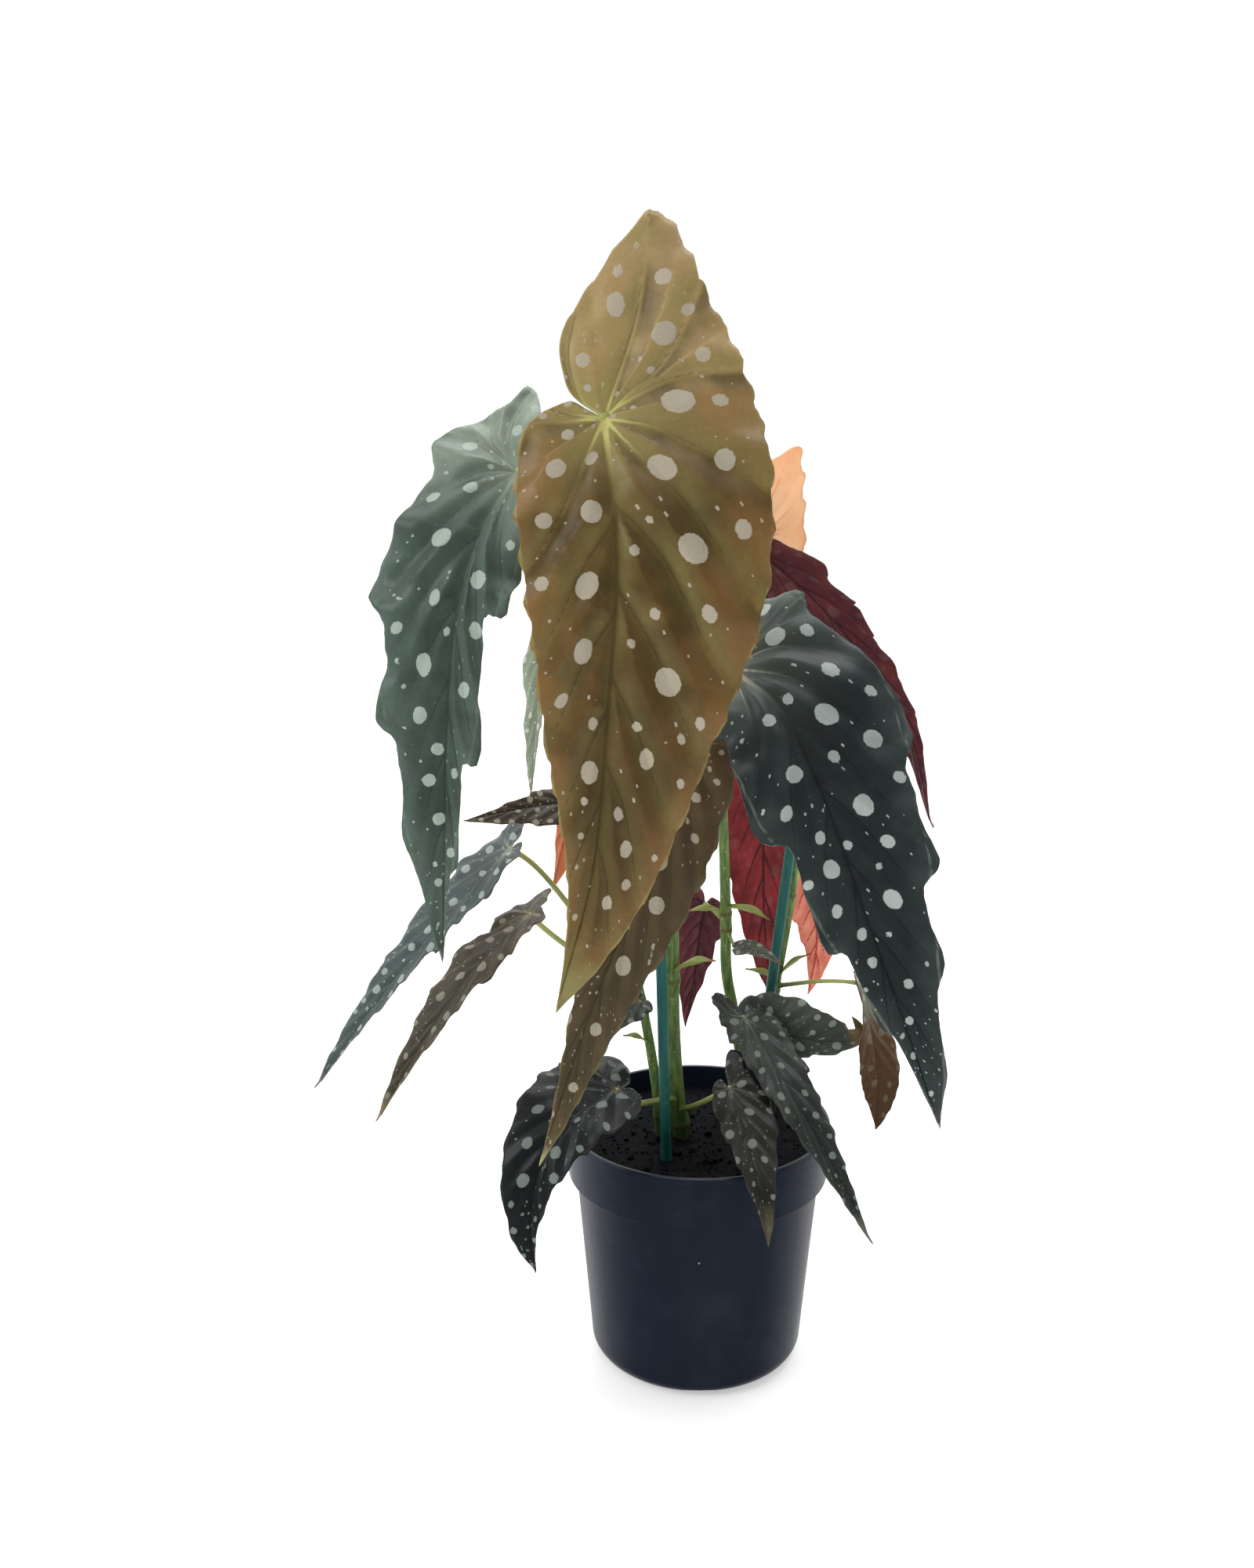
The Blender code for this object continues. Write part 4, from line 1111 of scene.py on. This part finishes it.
def make_blade(name, leaf, look, options):
    blade = Blade(leaf)
    step = options.mesh_step * (0.55 + 0.45 * min(1, leaf.wide / 38))
    rows = int(1.25 * blade.length / step)
    columns = 2 * int((leaf.wide + leaf.narrow) * MM / 2 / step)
    bm = bmesh.new()
    bmesh.ops.create_grid(bm, x_segments=columns, y_segments=rows, size=1)
    grid = np.array([vert.co for vert in bm.verts])
    flat = blade.flat(grid[:, 0], (grid[:, 1] + 1) / 2)
    out = np.abs(grid[:, 0])
    relative, gap, star, flank = vein_field(blade, flat)
    scale = leaf.wide / 50
    swell = options.quilting * (0.3 + 0.7 * scale) * (1 - np.exp(-((gap / ((1.8 + 3.6 * scale) * MM)) ** 2)))
    x, y = (math.tau * flat / ((9 + 9 * scale) * MM)).T
    pucker = PUCKER * MM * scale * np.sin(x + 1.3 * np.sin(0.6 * y)) * np.sin(0.85 * y + np.sin(0.7 * x))
    pleat = -PLEAT * MM * scale * flank
    groove = GROOVE * MM * scale * np.exp(-(relative**2))
    swell = (swell + pucker + pleat - groove) * (1 - 0.6 * out**4)
    largest = options.spot_radius * (0.42 + 0.58 * min(1, leaf.wide / 48))
    rng = random.Random(name)
    spots = scatter_spots(blade, name, flat, gap, out, rng, largest)
    margin, share = line_gap(flat, blade.margin())[0] / MM, flat[:, 1] / blade.length
    fields = dict(zip(FIELDS, (relative, gap / MM, flank, star, spot_field(flat, spots), margin, share)))
    places = blade.place(flat, swell)
    layers = {key: bm.verts.layers.float.new(key) for key in fields}
    flat_layer = bm.verts.layers.float_vector.new("flat")
    for i, vert in enumerate(bm.verts):
        vert.co = places[i]
        vert[flat_layer] = (*flat[i], 0)
        for key, layer in layers.items():
            vert[layer] = fields[key][i]
    bmesh.ops.remove_doubles(bm, verts=bm.verts, dist=2 * WELD)
    face_up(bm)
    skins = [cuticle_upper(name, look), cuticle_under(name, look), cut_margin(name, look)]
    obj = piece(name, bm, skins, node=name)
    solid = thicken(obj, options.thickness)
    solid.material_offset = 1
    solid.material_offset_rim = 2
    return blade


def stalk_line(leaf, blade):
    """The stalk's centre line, from inside its cane to the blade's underside."""
    cane = CANES[leaf.cane]
    line = cane_line(cane)
    foot = Vector(line[np.argmin(np.abs(line[:, 2] - leaf.height * MM))])
    end, ahead, up = (Vector(v) for v in blade.frame_at_stalk())
    out = Vector((end.x - foot.x, end.y - foot.y, 0)).normalized()
    start = foot + out * cane_radius(cane, foot.z / MM) * 0.55 * MM
    span = (end - start).length
    lift = Vector((0, 0, 0.25))
    first = start + (out * 0.7 + lift) * span * 0.38
    last = end - (up * 0.8 + ahead * 0.35) * span * 0.34
    return np.array([tuple(point) for point in geometry.interpolate_bezier(start, first, last, end, 40)])


def make_stalk(name, leaf, blade, skin):
    """A stalk with a swollen sheath on the cane and a flare under the blade."""
    line = stalk_line(leaf, blade)

    def radius_at(share, _, turn):
        sheath = 0.55 * math.exp(-((share / 0.05) ** 2))
        flare = 0.25 * math.exp(-(((1 - share) / 0.05) ** 2))
        rib = 0.03 * math.cos(5 * turn)
        return leaf.stalk * MM * (1.05 - 0.2 * share + sheath + flare + rib)

    bm = tube(line, radius_at, *STALK_GRID, [("share", lambda share, _: share)])
    piece(name + "_stalk", bm, [skin])


class BEGONIA_OT_leaves(bpy.types.Operator):
    """Add every leaf with its stalk"""

    bl_idname = "begonia.leaves"
    bl_label = "Leaves"

    def execute(self, context):
        skin = stalk_skin()
        for name, leaf in LEAVES.items():
            blade = make_blade(name, leaf, LOOKS[name], context.scene.begonia_leaves)
            make_stalk(name, leaf, blade, skin)
        return {"FINISHED"}


class BEGONIA_OT_canes(bpy.types.Operator):
    """Add the jointed canes"""

    bl_idname = "begonia.canes"
    bl_label = "Canes"

    def execute(self, context):
        skin = cane_skin()
        for name, cane in CANES.items():
            line = cane_line(cane)
            heights, reach = line[:, 2] / MM, reach_of(line)

            def radius_at(_, run, turn, cane=cane, heights=heights, reach=reach):
                height = np.interp(run, reach, heights)
                ring = sum(math.exp(-(((height - node) / 0.9) ** 2)) for node in cane.nodes)
                top = smoothstep(reach[-1], reach[-1] - 2 * MM, run) ** 0.5
                relief = 1 + 0.06 * ring + 0.02 * math.cos(6 * turn)
                return cane_radius(cane, height) * MM * relief * (0.3 + 0.7 * top)

            def ring_at(_, run, cane=cane, heights=heights, reach=reach):
                height = np.interp(run, reach, heights)
                return min(abs(height - node) for node in cane.nodes)

            bm = tube(line, radius_at, *CANE_GRID, [("ring", ring_at)])
            piece(name, bm, [skin], node=name)
        return {"FINISHED"}


class BEGONIA_OT_bracts(bpy.types.Operator):
    """Add the papery bracts at the nodes"""

    bl_idname = "begonia.bracts"
    bl_label = "Bracts"

    def execute(self, context):
        paper = papery_bract()
        for name, spec in BRACTS.items():
            make_bract(name, spec, paper)
        return {"FINISHED"}


def make_bract(name, spec, paper):
    """A keeled, pointed scale that stands off its cane's node."""
    cane_name, height, azimuth, elevation, length, half_width = spec
    cane = CANES[cane_name]
    line = cane_line(cane)
    foot = line[np.argmin(np.abs(line[:, 2] - height * MM))]
    heading = direction(azimuth, elevation)
    side = unit(np.cross(heading, (0, 0, 1)))
    up = np.cross(side, heading)
    out = unit(np.array((heading[0], heading[1], 0)))
    start = foot + out * cane_radius(cane, foot[2] / MM) * 0.7 * MM
    bm = bmesh.new()
    bmesh.ops.create_grid(bm, x_segments=12, y_segments=28, size=1)
    share_layer = bm.verts.layers.float.new("share")
    for vert in bm.verts:
        share, across = (vert.co.y + 1) / 2, vert.co.x
        width = half_width * (0.45 + 1.9 * share * (1 - share) + 0.1 * (1 - share)) * (1 - share**4)
        keel = abs(across) * width * 0.5 + 0.3 * math.sin(9 * share + 4 * across)
        vert[share_layer] = share
        vert.co = start + (heading * share * length + side * across * width) * MM
        vert.co += Vector(up * (keel - length * 0.25 * share * share) * MM)
    bmesh.ops.remove_doubles(bm, verts=bm.verts, dist=2 * WELD)
    bmesh.ops.recalc_face_normals(bm, faces=bm.faces)
    obj = piece(name, bm, [paper], node=name)
    thicken(obj, BRACT_THICKNESS)


class BEGONIA_OT_sticks(bpy.types.Operator):
    """Add the teal plant sticks"""

    bl_idname = "begonia.sticks"
    bl_label = "Sticks"

    def execute(self, context):
        coating = coated_stick()
        for name, ends in STICKS.items():
            line = np.linspace(ends[0], ends[1], 60) * MM
            whole = reach_of(line)[-1]

            def radius_at(_, run, turn, whole=whole):
                tip = min(run, whole - run) / (STICK_RADIUS * MM)
                dome = math.sqrt(max(0.0, 1 - max(0.0, 1 - tip) ** 2))
                return STICK_RADIUS * MM * (0.12 + 0.88 * dome) * (1 + 0.015 * math.cos(8 * turn))

            piece(name, tube(line, radius_at, *STICK_GRID), [coating], node=name)
        return {"FINISHED"}


class BEGONIA_OT_pot(bpy.types.Operator):
    """Add the nursery pot with its banded lip and drain slots"""

    bl_idname = "begonia.pot"
    bl_label = "Pot"

    def execute(self, context):
        band_low = POT_HEIGHT - BAND_HEIGHT
        inner_foot = WALL_BOTTOM_RADIUS - WALL
        profile = [
            (0, 0), (WALL_BOTTOM_RADIUS - FOOT_ROUND, 0),
            *rounded(WALL_BOTTOM_RADIUS - FOOT_ROUND, FOOT_ROUND, FOOT_ROUND, -90, 0, 12)[1:],
            (WALL_TOP_RADIUS - 0.1, band_low - 0.6),
            *rounded(WALL_TOP_RADIUS + 0.5, band_low - 0.6, 0.6, 180, 90, 4),
            *rounded(BAND_BOTTOM_RADIUS - 0.9, band_low + 0.9, 0.9, -90, 0, 5),
            (LIP_RADIUS - LIP_PROUD, POT_HEIGHT - LIP_DEPTH - 0.6),
            *rounded(LIP_RADIUS - 0.4, POT_HEIGHT - LIP_DEPTH, 0.4, -60, 0, 3),
            *rounded(LIP_RADIUS - 0.9, POT_HEIGHT - 0.9, 0.9, 0, 90, 6),
            *rounded(LIP_RADIUS - WALL - 0.4, POT_HEIGHT - 0.5, 0.5, 90, 180, 4),
            (BAND_BOTTOM_RADIUS - WALL, band_low + 1 + WALL), (WALL_TOP_RADIUS - WALL, band_low + 0.4 + WALL),
            *rounded(inner_foot - FOOT_ROUND + WALL, FOOT_ROUND, FOOT_ROUND - WALL, 0, -90, 8), (0, WALL),
        ]
        plastic = moulded_polypropylene(tuple(context.scene.begonia_pot.plastic))
        pot = piece("nursery_pot", turned(profile, POT_SIDES), [plastic], node="nursery_pot")
        cut_drains(pot)
        pot.data.set_sharp_from_angle(angle=math.radians(40))
        return {"FINISHED"}


def cut_drains(pot):
    """Cuts the rounded slots round the foot, and leaves no cutter behind."""
    for number in range(DRAIN_COUNT):
        bm = bmesh.new()
        bmesh.ops.create_cube(bm, size=MM)
        bmesh.ops.scale(bm, verts=bm.verts, vec=DRAIN_SIZE)
        edges = {"affect": "EDGES", "material": -1, "profile": 0.5}
        bmesh.ops.bevel(bm, geom=bm.edges, offset=DRAIN_ROUND * MM, segments=4, **edges)
        turn = Matrix.Rotation(math.tau * number / DRAIN_COUNT - math.pi / 2, 4, "Z")
        place = turn @ Matrix.Translation((WALL_BOTTOM_RADIUS * MM, 0, 0))
        bmesh.ops.transform(bm, verts=bm.verts, matrix=place)
        mesh = bpy.data.meshes.new("drain")
        bm.to_mesh(mesh)
        bm.free()
        cutter = bpy.data.objects.new("drain", mesh)
        bpy.context.scene.collection.objects.link(cutter)
        cut = pot.modifiers.new("Drain", "BOOLEAN")
        cut.operation = "DIFFERENCE"
        cut.solver = "EXACT"
        cut.object = cutter
        with bpy.context.temp_override(object=pot, active_object=pot):
            bpy.ops.object.modifier_apply(modifier=cut.name)
        bpy.data.objects.remove(cutter)


class BEGONIA_OT_peat(bpy.types.Operator):
    """Add the peat and its loose crumbs"""

    bl_idname = "begonia.peat"
    bl_label = "Peat"

    def execute(self, context):
        options = context.scene.begonia_pot
        peat = damp_peat()
        top = PEAT_HIGH.z / MM - 0.8
        clear = WALL + PEAT_GAP
        wall = BAND_BOTTOM_RADIUS - clear
        ledge = POT_HEIGHT - BAND_HEIGHT + WALL + 3
        surface = [
            (wall - wall * i / PEAT_RINGS, top - 1.1 * (i / PEAT_RINGS) ** 0.5)
            for i in range(PEAT_RINGS + 1)
        ]
        profile = [
            (0, clear), (WALL_BOTTOM_RADIUS - clear - FOOT_ROUND, clear),
            *rounded(WALL_BOTTOM_RADIUS - clear - FOOT_ROUND, FOOT_ROUND + WALL, FOOT_ROUND, -90, 0, 6)[1:],
            (WALL_TOP_RADIUS - clear - 0.2, ledge - 5), (WALL_TOP_RADIUS - clear - 0.2, ledge - 1.4),
            (wall, ledge),
            *surface,
        ]
        bm = turned(profile, PEAT_SIDES)
        for vert in bm.verts:
            if vert.co.z > (ledge + 1) * MM:
                vert.co.z += peat_relief(vert.co, options.relief)
        piece("potting_soil", bm, [peat], node="potting_soil")
        piece("peat_crumbs", crumbs(options.crumbs, top * MM, options.relief), [peat])
        return {"FINISHED"}


def peat_relief(place, relief):
    """Lumps of about 8 mm and 3 mm on the surface."""
    flat = Vector((place.x, place.y, 0))
    return relief * (0.6 * noise.noise(flat / (8 * MM)) + 0.4 * noise.noise(flat / (3 * MM)))


def crumbs(count, top, relief):
    """Small lumps of peat strewn over the surface, most of them fine."""
    rng = random.Random(7)
    bm = bmesh.new()
    for _ in range(count):
        radius, turn = CRUMB_REACH * MM * math.sqrt(rng.random()), rng.uniform(0, math.tau)
        size = rng.uniform(0.35, 0.75) * MM if rng.random() < 0.8 else rng.uniform(0.9, 1.7) * MM
        place = Vector((radius * math.cos(turn), radius * math.sin(turn), 0))
        place.z = top - 0.6 * MM + peat_relief(place, relief) + size * 0.3
        shape = Matrix.Diagonal((rng.uniform(0.7, 1.4), rng.uniform(0.7, 1.2), rng.uniform(0.5, 0.9), 1))
        spin = Matrix.Rotation(rng.uniform(0, math.tau), 4, (rng.random(), rng.random(), 0.5))
        matrix = Matrix.Translation(place) @ spin @ shape
        bmesh.ops.create_icosphere(bm, subdivisions=1, radius=size, matrix=matrix)
    return bm


class BEGONIA_OT_stage(bpy.types.Operator):
    """Add the flat paper floor, the soft lights and the camera"""

    bl_idname = "begonia.stage"
    bl_label = "Stage"

    def execute(self, context):
        options = context.scene.begonia_stage
        bm = bmesh.new()
        bmesh.ops.create_grid(bm, x_segments=2, y_segments=2, size=FLOOR_SIZE)
        mesh = bpy.data.meshes.new("paper_floor")
        bm.to_mesh(mesh)
        bm.free()
        mesh.materials.append(stage_paper(tuple(options.floor), options.glow))
        floor = bpy.data.objects.new("paper_floor", mesh)
        context.scene.collection.objects.link(floor)
        # Seen and lit, but not mirrored in the plastic and the waxy leaves
        floor.visible_glossy = False
        context.scene.world = white_room(options.sky)
        for name, light in LIGHTS.items():
            soft_light(name, *light)
        lens = bpy.data.cameras.new("camera")
        lens.lens = options.lens
        lens.clip_start = 0.02
        camera = bpy.data.objects.new("camera", lens)
        camera.location = CAMERA_PLACE
        camera.rotation_euler = (math.radians(90 - CAMERA_DIP), 0, 0)
        context.scene.collection.objects.link(camera)
        context.scene.camera = camera
        context.scene.view_settings.view_transform = "Standard"
        return {"FINISHED"}


def white_room(strength):
    """Light from all round, stronger from behind and above than from the camera's side. It looks white."""
    world = bpy.data.worlds.new("soft_white_room")
    world.use_nodes = True
    tree = world.node_tree
    heading = add(tree, "TexCoord").outputs["Generated"]
    facing = add(tree, "VectorMath", {0: heading, 1: (0, 0.85, 0.53)}, operation="DOT_PRODUCT")
    light = ramp(tree, facing.outputs["Value"], -0.45, 0.5, 0.1 * strength, strength)
    light = calc(tree, "MAXIMUM", light, add(tree, "LightPath").outputs["Is Camera Ray"])
    background = tree.nodes["Background"]
    background.inputs["Color"].default_value = (1, 1, 1, 1)
    plug(tree, background.inputs["Strength"], light)
    return world


def soft_light(name, place, size, power):
    """A square softbox that faces the middle of the plant."""
    lamp = bpy.data.lights.new(name, "AREA")
    lamp.energy = power
    lamp.size = size
    light = bpy.data.objects.new(name, lamp)
    light.location = place
    middle = (CAD_LOW + CAD_HIGH) / 2
    light.rotation_euler = (middle - light.location).to_track_quat("-Z", "Y").to_euler()
    bpy.context.scene.collection.objects.link(light)


class BEGONIA_PT_panel(bpy.types.Panel):
    """Buttons for each part of the plant"""

    bl_label = "Begonia"
    bl_idname = "BEGONIA_PT_panel"
    bl_space_type = "VIEW_3D"
    bl_region_type = "UI"
    bl_category = "Begonia"

    def draw(self, context):
        for group in ("begonia_pot", "begonia_leaves", "begonia_stage"):
            box = self.layout.box()
            options = getattr(context.scene, group)
            for name in options.__annotations__:
                box.prop(options, name)
        for operator in STEPS:
            self.layout.operator(operator.bl_idname)


STEPS = (
    BEGONIA_OT_stage,
    BEGONIA_OT_pot,
    BEGONIA_OT_peat,
    BEGONIA_OT_sticks,
    BEGONIA_OT_canes,
    BEGONIA_OT_bracts,
    BEGONIA_OT_leaves,
)
GROUPS = {"begonia_pot": PotSettings, "begonia_leaves": LeafSettings, "begonia_stage": StageSettings}


def register():
    for kind in (*GROUPS.values(), *STEPS, BEGONIA_PT_panel):
        bpy.utils.register_class(kind)
    for name, kind in GROUPS.items():
        setattr(bpy.types.Scene, name, PointerProperty(type=kind))


def unregister():
    for name in GROUPS:
        delattr(bpy.types.Scene, name)
    for kind in (*GROUPS.values(), *STEPS, BEGONIA_PT_panel):
        bpy.utils.unregister_class(kind)


def main():
    register()
    for step in STEPS:
        getattr(bpy.ops.begonia, step.bl_idname.split(".")[1])()
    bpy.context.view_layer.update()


if __name__ == "__main__":
    main()
